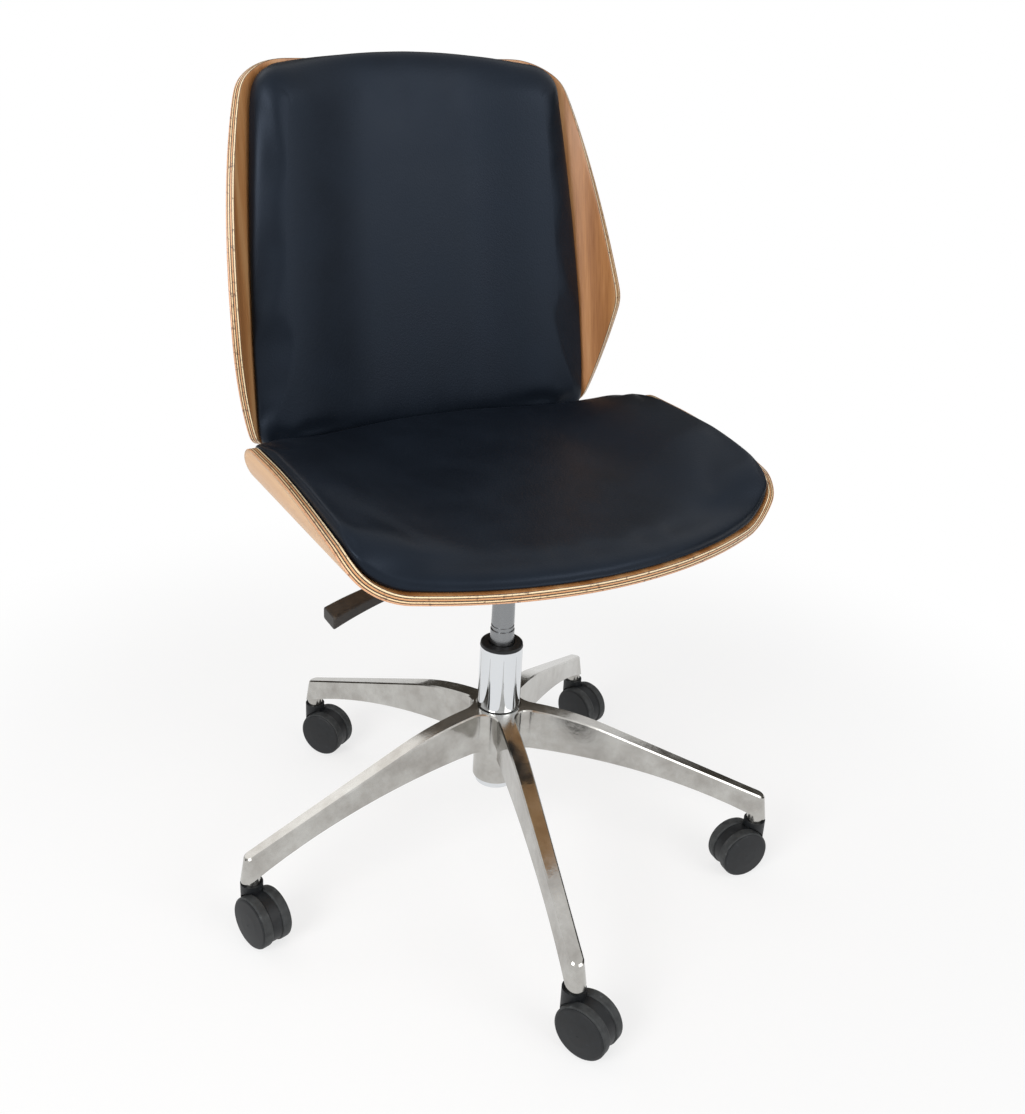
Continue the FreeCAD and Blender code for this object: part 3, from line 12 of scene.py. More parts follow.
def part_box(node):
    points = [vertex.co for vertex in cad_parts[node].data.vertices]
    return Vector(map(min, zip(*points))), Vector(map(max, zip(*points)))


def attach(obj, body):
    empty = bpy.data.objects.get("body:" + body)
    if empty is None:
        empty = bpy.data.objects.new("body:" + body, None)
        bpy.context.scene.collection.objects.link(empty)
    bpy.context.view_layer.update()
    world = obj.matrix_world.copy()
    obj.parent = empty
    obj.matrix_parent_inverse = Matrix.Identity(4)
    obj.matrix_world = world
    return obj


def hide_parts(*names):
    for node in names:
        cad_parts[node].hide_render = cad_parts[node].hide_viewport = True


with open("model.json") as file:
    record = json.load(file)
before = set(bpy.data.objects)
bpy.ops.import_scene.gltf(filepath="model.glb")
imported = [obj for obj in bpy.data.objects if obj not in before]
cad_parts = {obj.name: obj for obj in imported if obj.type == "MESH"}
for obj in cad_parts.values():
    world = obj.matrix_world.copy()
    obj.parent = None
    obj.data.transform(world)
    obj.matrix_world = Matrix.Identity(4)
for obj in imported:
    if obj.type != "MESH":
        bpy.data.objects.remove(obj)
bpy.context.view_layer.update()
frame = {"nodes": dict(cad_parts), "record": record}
NODES = frame["nodes"]
MM = 0.001

# Seat shell: a sheet bent up at both sides, cut by curved front and rear edges and a swept side edge
SEAT_PLY = 11.0 * MM
SEAT_FLAT = 195.0 * MM       # half width before the bends
SEAT_BEND = 55.0 * MM
SEAT_WING = 59.0 * MM        # wing top over the ply's upper face
SEAT_FRONT = -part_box("seat_shell")[0].y
SEAT_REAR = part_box("seat_shell")[1].y
SEAT_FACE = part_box("seat_shell")[0].z + SEAT_PLY
FRONT_RADIUS = 453.0 * MM
REAR_RADIUS = 488.0 * MM
WING_START = (-156.0 * MM, 8.0 * MM)       # fore-aft place and height of the side edge, from its front end
WING_SWELL = (-140.0 * MM, 27.5 * MM)
WING_SHOULDER = (-118.0 * MM, 41.0 * MM)
WING_RISE = (-36.5 * MM, 53.5 * MM)
WING_CREST = 45.0 * MM
WING_REAR_RADIUS = 32.0 * MM

# Back shell, set out along its own recline
BACK_PLY = 9.5 * MM
BACK_FLAT = 136.0 * MM
BACK_BEND = 112.0 * MM
BACK_HEIGHT = 428.0 * MM
RECLINE = math.radians(8.2)
BACK_SETBACK = 34.0 * MM
BACK_LIFT = 16.0 * MM
BACK_TOP_HALF = 152.0 * MM
BACK_CORNER_HALF = 219.0 * MM
BACK_CORNER_DROP = 58.0 * MM
BACK_CORNER_BOW = 9.5 * MM
BACK_FOOT_HALF = 195.0 * MM
BACK_FOOT_CORNER = 43.0 * MM
BACK_FOOT_RISE = 24.0 * MM
BACK_FOOT_BOW = 0.67
BACK_WING_FOOT = 35.0 * MM
BACK_WING_PEAK = 82.7 * MM
BACK_WING_TOP = 16.0 * MM
BACK_PEAK_HEIGHT = 139.0 * MM

# Pads
PAD_LIFT = 0.6 * MM          # of a pad's underside over the ply
SEAT_PAD_EDGE = 1.0 * MM     # ply left bare round the seat pad
SEAT_PAD_PROUD = 9.5 * MM    # of the pad's crest over the wings' edges
SEAT_PAD_TOP = 64.5 * MM     # the crest's greatest height, and where it falls off towards the rear
SEAT_FALL_START = 76.0 * MM
SEAT_FALL_END = 226.0 * MM
SEAT_PROUD_FADE = 20.0 * MM  # edge height over which the crest leaves the level of the pad's middle
SEAT_CROWN = 26.0 * MM       # seat pad's height in the middle, and how it slopes and bows towards its ends
SEAT_CROWN_SLOPE = 11.4 * MM
SEAT_CROWN_BOW = 4.6 * MM
SEAT_DISH_START = 105.0 * MM  # where, across the seat, the pad starts to rise, and where its wings crest
SEAT_DISH_END = 239.0 * MM
SEAT_ROLL_FRONT = 24.0 * MM  # width of the pad's rounded edge, from front to rear
SEAT_ROLL_SIDE = 12.0 * MM
SEAT_ROLL_REAR = 10.0 * MM
BACK_PAD_FOOT = -8.0 * MM    # of the back pad's foot over the ply's foot, and of its top over the ply's top
BACK_PAD_OVER = 10.0 * MM
BACK_PAD_LOW_HALF = 218.5 * MM   # half widths near the foot, half way up and at the shoulders
BACK_PAD_MID_HALF = 212.0 * MM
BACK_PAD_TOP_HALF = 196.0 * MM
BACK_PAD_MID_HEIGHT = 220.0 * MM
BACK_PAD_LOW_CORNER = 24.0 * MM  # radii of the corners, and how far the top's arch falls before them
BACK_PAD_TOP_CORNER = 42.0 * MM
BACK_PAD_TOP_DROP = 14.0 * MM
BACK_PAD_THICK = 27.0 * MM   # of the pad's middle and of its sides before the flat ply
BACK_PAD_CREST = 47.0 * MM
BACK_DISH_START = 60.0 * MM  # where, across the back, the pad starts to rise, and where its sides crest
BACK_DISH_END = 178.0 * MM
BACK_PAD_ROLL = 36.0 * MM    # width of the rounded edge, its width at the foot, and where it widens
BACK_PAD_LOW_ROLL = 15.0 * MM
BACK_ROLL_PLACES = (24.0 * MM, 110.0 * MM)
PAD_ACROSS = 72              # cells of a pad's face
PAD_ALONG = 58
PAD_RINGS = 15               # from the face, over the edge, to the underside
PAD_SWELL = 0.42             # height of the edge's widest line over the rim, as a share of the crest's
PAD_TUCK = 6.0 * MM          # how far the edge tucks in under that
PAD_ROUND = 2.3              # power of the rolled edge's curve, where 2 is an ellipse
PAD_HELD = 4.0 * MM          # cover held where it is this near its ply
PAD_PRESSURE = 4.0
PAD_STRETCH = 25.0           # stiffness of the cover in its plane, and in bending
PAD_BENDING = 4.0
PAD_CAP = 3.0 * MM           # the most that a point swells
PAD_STEPS = 20
PAD_EVENING = 3              # passes that round a pad's outline, and that even its points at the end
PAD_SMOOTHING = 4

# Stage and camera
SENSOR_HEIGHT = 24.0
FLOOR_HALF = 6.0
FLOOR_SHADE = 0.3           # share of the floor's white that shadows can take
FLOOR_FADE = (0.55, 1.1)    # from the column, where the floor turns to plain white
WORLD_LIGHT = 0.45
PHOTO_WIDTH = 1025
PHOTO_HEIGHT = 1114
FOCAL_PIXELS = 1245.5
CENTRE_PIXEL = (457.8, 505.6)
CAMERA_PLACE = (-0.6454, -1.0931, 0.9875)
CAMERA_RIGHT = (0.8891, -0.4565, 0.0339)
CAMERA_UP = (0.1498, 0.3601, 0.9208)
CAMERA_BACK = (-0.4326, -0.8136, 0.3885)
LAMPS = {                   # place, point that it faces, size, power
    "key": ((-2.8, -1.4, 1.9), (0, 0, 0.6), (1.6, 1.6), 68),
    "fill": ((1.1, -2.7, 1.8), (0, 0, 0.5), (2.0, 1.6), 34),
    "rim": ((-0.9, 2.3, 2.6), (0, 0, 0.6), (1.6, 1.2), 9)}
FLAGS = {                   # opposite corners, and the shades of their glow from foot to top, which paint reflections of a dim room
    "rear_flag": ((-2.6, 2.7, 0.3), (3.4, 2.7, 3.4),
                  ((0.0, "#4a4640"), (0.5, "#4a4640"), (0.75, "#6f6962"), (1.0, "#9a938b"))),
    "left_flag": ((-3.4, -2.4, 0.1), (-3.4, 1.8, 1.5), ((0.0, "#3a3834"), (1.0, "#57534d"))),
    "right_flag": ((2.9, 1.5, 0.0), (2.9, -2.4, 1.7), ((0.0, "#3a3834"), (1.0, "#57534d")))}

# Fineness
OUTLINE_POINTS = 420
ARC_STEPS = 40
FLAT_STEPS = 60              # across the seat's flat, across one wing and across half the back
WING_STEPS = 160
BACK_STEPS = 500
BACK_SIDE_SLOPE = 2          # of the line that closes the back's side beyond its top corner
FACE_RINGS = 46              # of a ply's face, of its edge, and of each of its two eased corners
EDGE_RINGS = 9
EASE_RINGS = 4
FACE_MIDDLE = 0.0004         # share of the face's area inside its first ring
EASE = 1.2 * MM              # rounding of a ply edge
SEAT_EVENING = 3             # passes that round a ply outline's corners
BACK_EVENING = 10
WING_POINTS = 140
WING_EVENING = 12


# Curves and sheets


def sag(radius, half):
    """How far an arc falls back at half its chord: radius less the leg of a right triangle."""
    return radius - np.sqrt(radius ** 2 - half ** 2)


def arc(a, b, c, count=ARC_STEPS):
    """Points of the circle's arc from a through b to c, evenly spaced in angle."""
    a, b, c = (np.asarray(p, float) for p in (a, b, c))
    ab, ac = b - a, c - a
    cross = 2 * (ab[0] * ac[1] - ab[1] * ac[0])
    off = np.array((ac[1] * ab.dot(ab) - ab[1] * ac.dot(ac), ab[0] * ac.dot(ac) - ac[0] * ab.dot(ab))) / cross
    start = np.arctan2(*(-off)[::-1])
    through = (np.arctan2(*(ab - off)[::-1]) - start) % (2 * np.pi)
    turn = (np.arctan2(*(ac - off)[::-1]) - start) % (2 * np.pi)
    if through > turn:
        turn -= 2 * np.pi
    angles = start + turn * np.linspace(0, 1, count)
    return a + off + np.hypot(*off) * np.stack((np.cos(angles), np.sin(angles)), 1)


def evened(points, count):
    """A closed line's points, spaced evenly along its length."""
    closed = np.vstack((points, points[:1]))
    gone = np.concatenate(((0,), np.cumsum(np.hypot(*np.diff(closed, axis=0).T))))
    want = np.linspace(0, gone[-1], count, endpoint=False)
    return np.stack([np.interp(want, gone, closed[:, k]) for k in (0, 1)], 1)


def smoothed(points, passes):
    """A closed line with each point moved to the mean of its neighbours, some number of times."""
    for _ in range(passes):
        points = (np.roll(points, 1, 0) + 2 * points + np.roll(points, -1, 0)) / 4
    return points


def inward(points):
    """Unit normals that point into a closed line drawn anticlockwise: its tangents turned left."""
    tangent = np.roll(points, -1, 0) - np.roll(points, 1, 0)
    tangent /= np.linalg.norm(tangent, axis=1, keepdims=True)
    return np.stack((-tangent[:, 1], tangent[:, 0]), 1)


def bent(across, flat, bend):
    """A flat strip bent up round both sides: (x, height, lean) at an unrolled distance from its middle."""
    side = np.sign(across)
    run = np.abs(across)
    turn = np.clip((run - flat) / bend, 0, np.pi / 2)
    straight = np.maximum(run - flat - bend * np.pi / 2, 0)
    x = side * (np.minimum(run, flat) + bend * np.sin(turn))
    height = bend * (1 - np.cos(turn)) + straight
    return x, height, side * turn


def in_seat(x, along, height):
    """Point over the seat's flat ply, by its plan and height."""
    return np.stack((x, along, SEAT_FACE + height), -1)


def in_back(x, along, forward):
    """Point before the back's flat ply, by its front view and depth: both tilted by the recline."""
    y = SEAT_REAR + BACK_SETBACK + along * math.sin(RECLINE) - forward * math.cos(RECLINE)
    z = SEAT_FACE + BACK_LIFT + along * math.cos(RECLINE) + forward * math.sin(RECLINE)
    return np.stack((x, y, z), -1)


def lifted(across, flat, bend, lift):
    """Plan and height of a point lifted off a bent sheet's inner face along the face's normal."""
    x, height, lean = bent(across, flat, bend)
    return x - lift * np.sin(lean), height + lift * np.cos(lean)


def on_seat(across, along, lift):
    """Point lifted off the seat ply's upper face, by its unrolled place."""
    x, height = lifted(across, SEAT_FLAT, SEAT_BEND, lift)
    return in_seat(x, along, height)


def on_back(across, along, lift):
    """Point lifted off the back ply's front face, by its unrolled place."""
    x, forward = lifted(across, BACK_FLAT, BACK_BEND, lift)
    return in_back(x, along, forward)


def both_sides(right):
    """A closed anticlockwise outline from its right half, drawn from the foot's middle to the top's."""
    left = right[::-1] * (-1, 1)
    return np.vstack((right, left))


def swept_edge():
    """Fore-aft places and heights of the seat ply's side edge, from its front end up to its crest."""
    swell = arc(WING_START, WING_SWELL, WING_SHOULDER)
    rise = arc(WING_SHOULDER, WING_RISE, (WING_CREST, SEAT_WING))
    return np.vstack((swell, rise[1:]))


def seat_outline():
    """Unrolled outline of the seat sheet: the plan's arcs, or the wing's swept edge where that cuts in."""
    top = SEAT_FLAT + SEAT_BEND * np.pi / 2 + SEAT_WING - SEAT_BEND
    level = np.linspace(0, SEAT_FLAT, FLAT_STEPS)
    across = np.concatenate((level, np.linspace(SEAT_FLAT, top, WING_STEPS)[1:]))
    x, height, _ = bent(across, SEAT_FLAT, SEAT_BEND)
    edge = swept_edge()
    front = np.maximum(sag(FRONT_RADIUS, x) - SEAT_FRONT, np.interp(height, edge[:, 1], edge[:, 0], left=-1))
    side = SEAT_REAR - sag(REAR_RADIUS, SEAT_FLAT + SEAT_BEND)
    corner = SEAT_WING - WING_REAR_RADIUS
    drop = np.clip(height - corner, 0, WING_REAR_RADIUS)
    lean = np.maximum(corner - height, 0) * WING_REAR_RADIUS / (corner - WING_START[1])
    rear = SEAT_REAR - sag(REAR_RADIUS, x)
    wing = height > WING_START[1]
    rear = np.where(wing, np.minimum(rear, side + lean - sag(WING_REAR_RADIUS, drop)), rear)
    return both_sides(np.vstack((np.stack((across, front), 1), np.stack((across, rear), 1)[::-1])))


def back_outline():
    """Unrolled outline of the back sheet: its front view, or the wing's depth where that cuts in."""
    corner = BACK_HEIGHT - BACK_CORNER_DROP
    foot_side = BACK_FOOT_HALF + BACK_FOOT_CORNER
    low_bow = (BACK_FOOT_HALF + BACK_FOOT_CORNER * BACK_FOOT_BOW, BACK_FOOT_RISE * (1 - BACK_FOOT_BOW))
    foot = arc((BACK_FOOT_HALF, 0), low_bow, (foot_side, BACK_FOOT_RISE))
    high_bow = ((BACK_CORNER_HALF + BACK_TOP_HALF) / 2 + BACK_CORNER_BOW,
                (corner + BACK_HEIGHT) / 2 + BACK_CORNER_BOW)
    head = arc((BACK_TOP_HALF, BACK_HEIGHT), high_bow, (BACK_CORNER_HALF, corner))
    across = np.linspace(0, BACK_FLAT + BACK_BEND * np.pi / 2, BACK_STEPS)
    x, depth, _ = bent(across, BACK_FLAT, BACK_BEND)
    slope = (BACK_WING_PEAK - BACK_WING_TOP) / (BACK_HEIGHT - BACK_PEAK_HEIGHT)
    foot_slope = (BACK_WING_PEAK - BACK_WING_FOOT) / BACK_PEAK_HEIGHT
    lowest = np.maximum(np.interp(x, foot[:, 0], foot[:, 1]), (depth - BACK_WING_FOOT) / foot_slope)
    beyond = corner - (x - BACK_CORNER_HALF) * BACK_SIDE_SLOPE
    highest = np.where(x > BACK_CORNER_HALF, beyond, np.interp(x, head[:, 0], head[:, 1]))
    highest = np.minimum(highest, BACK_HEIGHT - (depth - BACK_WING_TOP) / slope)
    highest = np.where(depth < BACK_WING_TOP, np.minimum(highest, BACK_HEIGHT), highest)
    inside = lowest < highest
    low = np.stack((across, lowest), 1)[inside]
    high = np.stack((across, highest), 1)[inside]
    return both_sides(np.vstack((low, high[::-1])))


# Meshes


def new_piece(name, points, faces):
    """A smooth-shaded object at the origin, from its vertices and faces."""
    mesh = bpy.data.meshes.new(name)
    mesh.from_pydata(points.tolist(), [], faces)
    mesh.polygons.foreach_set("use_smooth", np.ones(len(mesh.polygons), bool))
    piece = bpy.data.objects.new(name, mesh)
    bpy.context.scene.collection.objects.link(piece)
    return piece


def ring_faces(rows, columns):
    """Faces of a closed form of rings, each joined to the next, with a point at both ends."""
    first = 1 + np.arange(rows - 1)[:, None] * columns + np.arange(columns)[None, :]
    turn = np.roll(np.arange(columns), -1)
    beside = first[:, turn]
    quads = np.stack((first, beside, beside + columns, first + columns), -1).reshape(-1, 4)
    start = 1 + np.arange(columns)
    end = start + (rows - 1) * columns
    last = 1 + rows * columns
    caps = [(0, b, a) for a, b in zip(start.tolist(), start[turn].tolist())]
    tails = [(a, b, last) for a, b in zip(end.tolist(), end[turn].tolist())]
    return caps + quads.tolist() + tails


def ring_points(rings):
    """Vertices of such a form: the first ring's mean, the rings, the last ring's mean."""
    return np.vstack((rings[:1].mean(1), rings.reshape(-1, rings.shape[-1]), rings[-1:].mean(1)))


def put_uv(piece, name, flat):
    """A UV map that gives every corner its vertex's flat coordinates."""
    corner = np.empty(len(piece.data.loops), np.int32)
    piece.data.loops.foreach_get("vertex_index", corner)
    layer = piece.data.uv_layers.new(name=name)
    layer.data.foreach_set("uv", flat[corner].astype(np.float32).ravel())


def make_ply(name, outline, place, ply, evening):
    """Bent sheet of some thickness with eased edges: rings run from the inner face's middle, over the rim,
    to the outer face's middle. Each ring is the outline drawn in, at a depth below the inner face."""
    outline = smoothed(evened(outline, OUTLINE_POINTS), evening)
    inner = inward(outline)
    middle = outline.mean(0)
    shares = np.sqrt(np.linspace(FACE_MIDDLE, 1, FACE_RINGS))
    turn = np.linspace(0, np.pi / 2, EASE_RINGS + 1)[1:]
    level = np.linspace(EASE, ply - EASE, EDGE_RINGS + 2)[1:-1]
    pull = np.concatenate((EASE * (1 - np.sin(turn)), np.zeros(EDGE_RINGS), EASE * (1 - np.cos(turn))))
    down = np.concatenate((EASE * (1 - np.cos(turn)), level, ply - EASE + EASE * np.sin(turn)))
    rim = outline + EASE * inner
    faces = middle + shares[:, None, None] * (rim - middle)
    edges = outline + pull[:, None, None] * inner
    flat = np.concatenate((faces, edges, faces[::-1]))
    depth = np.concatenate((np.zeros(len(shares)), down, np.full(len(shares), ply)))
    depth = np.repeat(depth[:, None], OUTLINE_POINTS, 1)
    rings = place(flat[..., 0], flat[..., 1], -depth)
    piece = new_piece(name, ring_points(rings), ring_faces(len(rings), OUTLINE_POINTS))
    put_uv(piece, "sheet", ring_points(flat))
    layer = piece.data.attributes.new("depth", "FLOAT", "POINT")
    layer.data.foreach_set("value", ring_points(depth[..., None])[:, 0].astype(np.float32) / ply)
    return piece


def spanned(ring):
    """Coons patch: a grid of points inside a closed line, with the line's own points along its rim."""
    low = ring[:PAD_ACROSS + 1]
    right = ring[PAD_ACROSS:PAD_ACROSS + PAD_ALONG + 1]
    top = ring[PAD_ACROSS + PAD_ALONG:2 * PAD_ACROSS + PAD_ALONG + 1][::-1]
    left = np.vstack((ring[2 * PAD_ACROSS + PAD_ALONG:], ring[:1]))[::-1]
    u = np.linspace(0, 1, PAD_ACROSS + 1)[None, :, None]
    v = np.linspace(0, 1, PAD_ALONG + 1)[:, None, None]
    sides = (1 - v) * low[None] + v * top[None] + (1 - u) * left[:, None] + u * right[:, None]
    corners = (1 - u) * (1 - v) * low[0] + u * (1 - v) * low[-1] + (1 - u) * v * top[0] + u * v * top[-1]
    return sides - corners


def rim_index():
    """Places of a grid's rim points in the order of the closed line that it was spanned on."""
    grid = np.arange((PAD_ALONG + 1) * (PAD_ACROSS + 1)).reshape(PAD_ALONG + 1, PAD_ACROSS + 1)
    return np.concatenate((grid[0, :-1], grid[:-1, -1], grid[-1, :0:-1], grid[:0:-1, 0]))


def grid_faces(start):
    """Quads of such a grid, whose first point has this number."""
    grid = start + np.arange((PAD_ALONG + 1) * (PAD_ACROSS + 1)).reshape(PAD_ALONG + 1, PAD_ACROSS + 1)
    return np.stack((grid[:-1, :-1], grid[:-1, 1:], grid[1:, 1:], grid[1:, :-1]), -1).reshape(-1, 4)


def make_pad(name, outline, sheet, place, crown, roll):
    """Pad in a bent sheet: a crowned face, an edge that rolls out to the rim on a quarter superellipse and
    tucks in under it on a quarter ellipse, and an underside that lies on the sheet."""
    count = 2 * (PAD_ACROSS + PAD_ALONG)
    outline = np.roll(smoothed(evened(outline, count), PAD_EVENING), PAD_ACROSS // 2, 0)
    tucked = outline + PAD_TUCK * inward(outline)
    rim_x, rim_height = lifted(outline[:, 0], *sheet, PAD_LIFT)
    foot_x, foot_height = lifted(tucked[:, 0], *sheet, PAD_LIFT)
    rim = np.stack((rim_x, outline[:, 1]), 1)
    foot = np.stack((foot_x, tucked[:, 1]), 1)
    crest = rim + roll(rim[:, 1])[:, None] * inward(rim)
    crest_height = crown(crest[:, 0], crest[:, 1])
    widest = rim_height + PAD_SWELL * (crest_height - rim_height)
    turn = np.linspace(0, np.pi, PAD_RINGS)[:, None]
    over = turn <= np.pi / 2
    out = np.sin(turn)
    inside = np.where(over[..., None], crest, foot)
    flat = inside + out[..., None] * (rim - inside)
    rolled = (crown(flat[..., 0], flat[..., 1]) - widest) * np.sqrt(np.maximum(1 - out ** PAD_ROUND, 0))
    tuck = (widest - foot_height) * np.cos(turn)
    edge = place(flat[..., 0], flat[..., 1], widest + np.where(over, rolled, tuck))
    face = spanned(crest)
    top = place(face[..., 0], face[..., 1], crown(face[..., 0], face[..., 1]))
    bed = spanned(tucked)
    bed_x, bed_height = lifted(bed[..., 0], *sheet, PAD_LIFT)
    under = place(bed_x, bed[..., 1], bed_height)
    points = np.vstack((top.reshape(-1, 3), edge[1:-1].reshape(-1, 3), under.reshape(-1, 3)))
    cells = top.shape[0] * top.shape[1]
    last = cells + (PAD_RINGS - 2) * count
    between = cells + np.arange((PAD_RINGS - 2) * count).reshape(-1, count)
    rings = np.vstack((rim_index(), between, last + rim_index()))
    beside = np.roll(rings, -1, 1)
    walls = np.stack((rings[1:], beside[1:], beside[:-1], rings[:-1]), -1).reshape(-1, 4)
    faces = np.vstack((grid_faces(0), walls, grid_faces(last)[:, ::-1]))
    return new_piece(name, points, faces.tolist())


def seat_pad_outline():
    """The ply's outline, drawn in a little."""
    ply = smoothed(evened(seat_outline(), OUTLINE_POINTS), SEAT_EVENING)
    return ply + SEAT_PAD_EDGE * inward(ply)


def eased(x, start, end):
    """0 up to start and 1 from end, with a smooth step between: 3t^2 - 2t^3."""
    step = np.clip((np.abs(x) - start) / (end - start), 0, 1)
    return step * step * (3 - 2 * step)


def wing_edge():
    """The same edge held level behind its crest, evened out: its places and heights."""
    edge = swept_edge()
    along = np.linspace(-SEAT_FRONT, SEAT_REAR, WING_POINTS)
    height = np.interp(along, edge[:, 0], edge[:, 1], left=0)
    for _ in range(WING_EVENING):
        height = np.convolve(np.pad(height, 1, "edge"), (0.25, 0.5, 0.25), "valid")
    return along, height


def seat_crown(x, along):
    """Height of the seat pad's top over the ply: a parabola from front to rear, which rises on both sides to a
    crest that follows the wing's edge and falls off at the rear."""
    front = sag(FRONT_RADIUS, x) - SEAT_FRONT
    rear = SEAT_REAR - sag(REAR_RADIUS, x)
    reach = (2 * along - front - rear) / (rear - front)
    middle = SEAT_CROWN + SEAT_CROWN_SLOPE * reach + SEAT_CROWN_BOW * reach ** 2
    edge = np.interp(along, *wing_edge())
    wing = edge + SEAT_PAD_PROUD + (middle - SEAT_PAD_PROUD) * np.exp(-edge / SEAT_PROUD_FADE)
    rise = np.minimum(wing, SEAT_PAD_TOP) - middle
    held = 1 - eased(np.maximum(along, 0), SEAT_FALL_START, SEAT_FALL_END)
    return middle + rise * held * eased(x, SEAT_DISH_START, SEAT_DISH_END)


def seat_roll(along):
    """Width of the seat pad's rounded edge, straight between its values from front to rear."""
    places = (-SEAT_FRONT, -SEAT_FRONT / 2, SEAT_REAR / 2, SEAT_REAR)
    return np.interp(along, places, (SEAT_ROLL_FRONT, SEAT_ROLL_SIDE, SEAT_ROLL_SIDE, SEAT_ROLL_REAR))


def back_roll(along):
    """Width of the back pad's rounded edge, which widens from the foot up."""
    return np.interp(along, BACK_ROLL_PLACES, (BACK_PAD_LOW_ROLL, BACK_PAD_ROLL))


def back_crown(x, along):
    """How far the back pad's face stands before the flat ply: level in the middle, rising to a crest at
    each side, and the same all the way along."""
    rise = (BACK_PAD_CREST - BACK_PAD_THICK) * eased(x, BACK_DISH_START, BACK_DISH_END)
    return BACK_PAD_THICK + rise + 0 * along


def back_pad_outline():
    """Unrolled outline of the back pad: a flat foot, bowed sides and an arched top with round corners."""
    top = BACK_HEIGHT + BACK_PAD_OVER
    heel = BACK_PAD_LOW_HALF - BACK_PAD_LOW_CORNER
    foot = np.stack((np.linspace(0, heel, ARC_STEPS), np.full(ARC_STEPS, BACK_PAD_FOOT)), 1)
    lean = 1 - math.sqrt(0.5)
    low_bow = (BACK_PAD_LOW_HALF - BACK_PAD_LOW_CORNER * lean, BACK_PAD_FOOT + BACK_PAD_LOW_CORNER * lean)
    low = arc(foot[-1], low_bow, (BACK_PAD_LOW_HALF, BACK_PAD_FOOT + BACK_PAD_LOW_CORNER))
    shoulder = (BACK_PAD_TOP_HALF, top - BACK_PAD_TOP_DROP - BACK_PAD_TOP_CORNER)
    side = arc(low[-1], (BACK_PAD_MID_HALF, BACK_PAD_MID_HEIGHT), shoulder)
    head = (BACK_PAD_TOP_HALF - BACK_PAD_TOP_CORNER, top - BACK_PAD_TOP_DROP)
    high_bow = (BACK_PAD_TOP_HALF - BACK_PAD_TOP_CORNER * lean, head[1] - BACK_PAD_TOP_CORNER * lean)
    corner = arc(shoulder, high_bow, head)
    arch = arc(head, (0, top), (-head[0], head[1]))
    arch = arch[:len(arch) // 2]
    right = np.vstack((foot, low[1:], side[1:], corner[1:], arch[1:]))
    run = np.abs(right[:, 0])
    turned = BACK_FLAT + BACK_BEND * np.arcsin(np.clip((run - BACK_FLAT) / BACK_BEND, 0, 1))
    right[:, 0] = np.where(run > BACK_FLAT, turned, run)
    return both_sides(right)


def lift_off(points, flat, bend):
    """Distance of points from a bent sheet's inner face, given as (x, height) columns."""
    run = np.abs(points[:, 0])
    height = points[:, 1]
    bend_lift = bend - np.hypot(run - flat, height - bend)
    return np.where(run < flat, height, np.where(height < bend, bend_lift, flat + bend - run))


def seat_lift(points):
    """Distance of points over the seat ply."""
    return lift_off(np.stack((points[:, 0], points[:, 2] - SEAT_FACE), 1), SEAT_FLAT, SEAT_BEND)


def back_lift(points):
    """Distance of points before the back ply, whose recline is turned back first."""
    away = SEAT_REAR + BACK_SETBACK - points[:, 1]
    up = points[:, 2] - SEAT_FACE - BACK_LIFT
    forward = away * math.cos(RECLINE) + up * math.sin(RECLINE)
    return lift_off(np.stack((points[:, 0], forward), 1), BACK_FLAT, BACK_BEND)


def coordinates(mesh):
    """A mesh's vertices as rows."""
    points = np.empty(len(mesh.vertices) * 3)
    mesh.vertices.foreach_get("co", points)
    return points.reshape(-1, 3)


def evaluated(piece):
    """The piece's mesh with its modifiers applied, as a new mesh."""
    graph = bpy.context.evaluated_depsgraph_get()
    return bpy.data.meshes.new_from_object(piece.evaluated_get(graph), depsgraph=graph)


def stuffed(piece, lift, cap):
    """Fills a pad as foam fills a cover: pressure swells it, it is held where it lies on its ply, and each
    point's move is cut to the cap."""
    mesh = piece.data
    rest = coordinates(mesh)
    held = piece.vertex_groups.new(name="held")
    held.add(np.flatnonzero(lift(rest) < PAD_HELD).tolist(), 1.0, "REPLACE")
    cloth = piece.modifiers.new("cover", "CLOTH")
    cloth.settings.vertex_group_mass = "held"
    cloth.settings.use_pressure = True
    cloth.settings.uniform_pressure_force = PAD_PRESSURE
    cloth.settings.tension_stiffness = PAD_STRETCH
    cloth.settings.compression_stiffness = PAD_STRETCH
    cloth.settings.bending_stiffness = PAD_BENDING
    cloth.settings.effector_weights.gravity = 0
    for step in range(1, PAD_STEPS + 1):
        bpy.context.scene.frame_set(step)
    move = coordinates(evaluated(piece)) - rest
    far = np.linalg.norm(move, axis=1, keepdims=True)
    move *= np.minimum(1, cap / np.maximum(far, 1e-9))
    piece.modifiers.clear()
    mesh.vertices.foreach_set("co", (rest + move).ravel())
    bpy.context.scene.frame_set(1)


def softened(piece):
    """Evens a pad's points a little and divides its faces once."""
    soft = piece.modifiers.new("soft", "SMOOTH")
    soft.iterations = PAD_SMOOTHING
    fine = piece.modifiers.new("fine", "SUBSURF")
    fine.levels = 1
    fine.render_levels = 1


# Materials


def linear(code):
    """An sRGB hex colour as linear red, green, blue and alpha."""
    parts = np.array([int(code[k:k + 2], 16) for k in (1, 3, 5)]) / 255
    parts = np.where(parts <= 0.04045, parts / 12.92, ((parts + 0.055) / 1.055) ** 2.4)
    return (*parts.tolist(), 1.0)


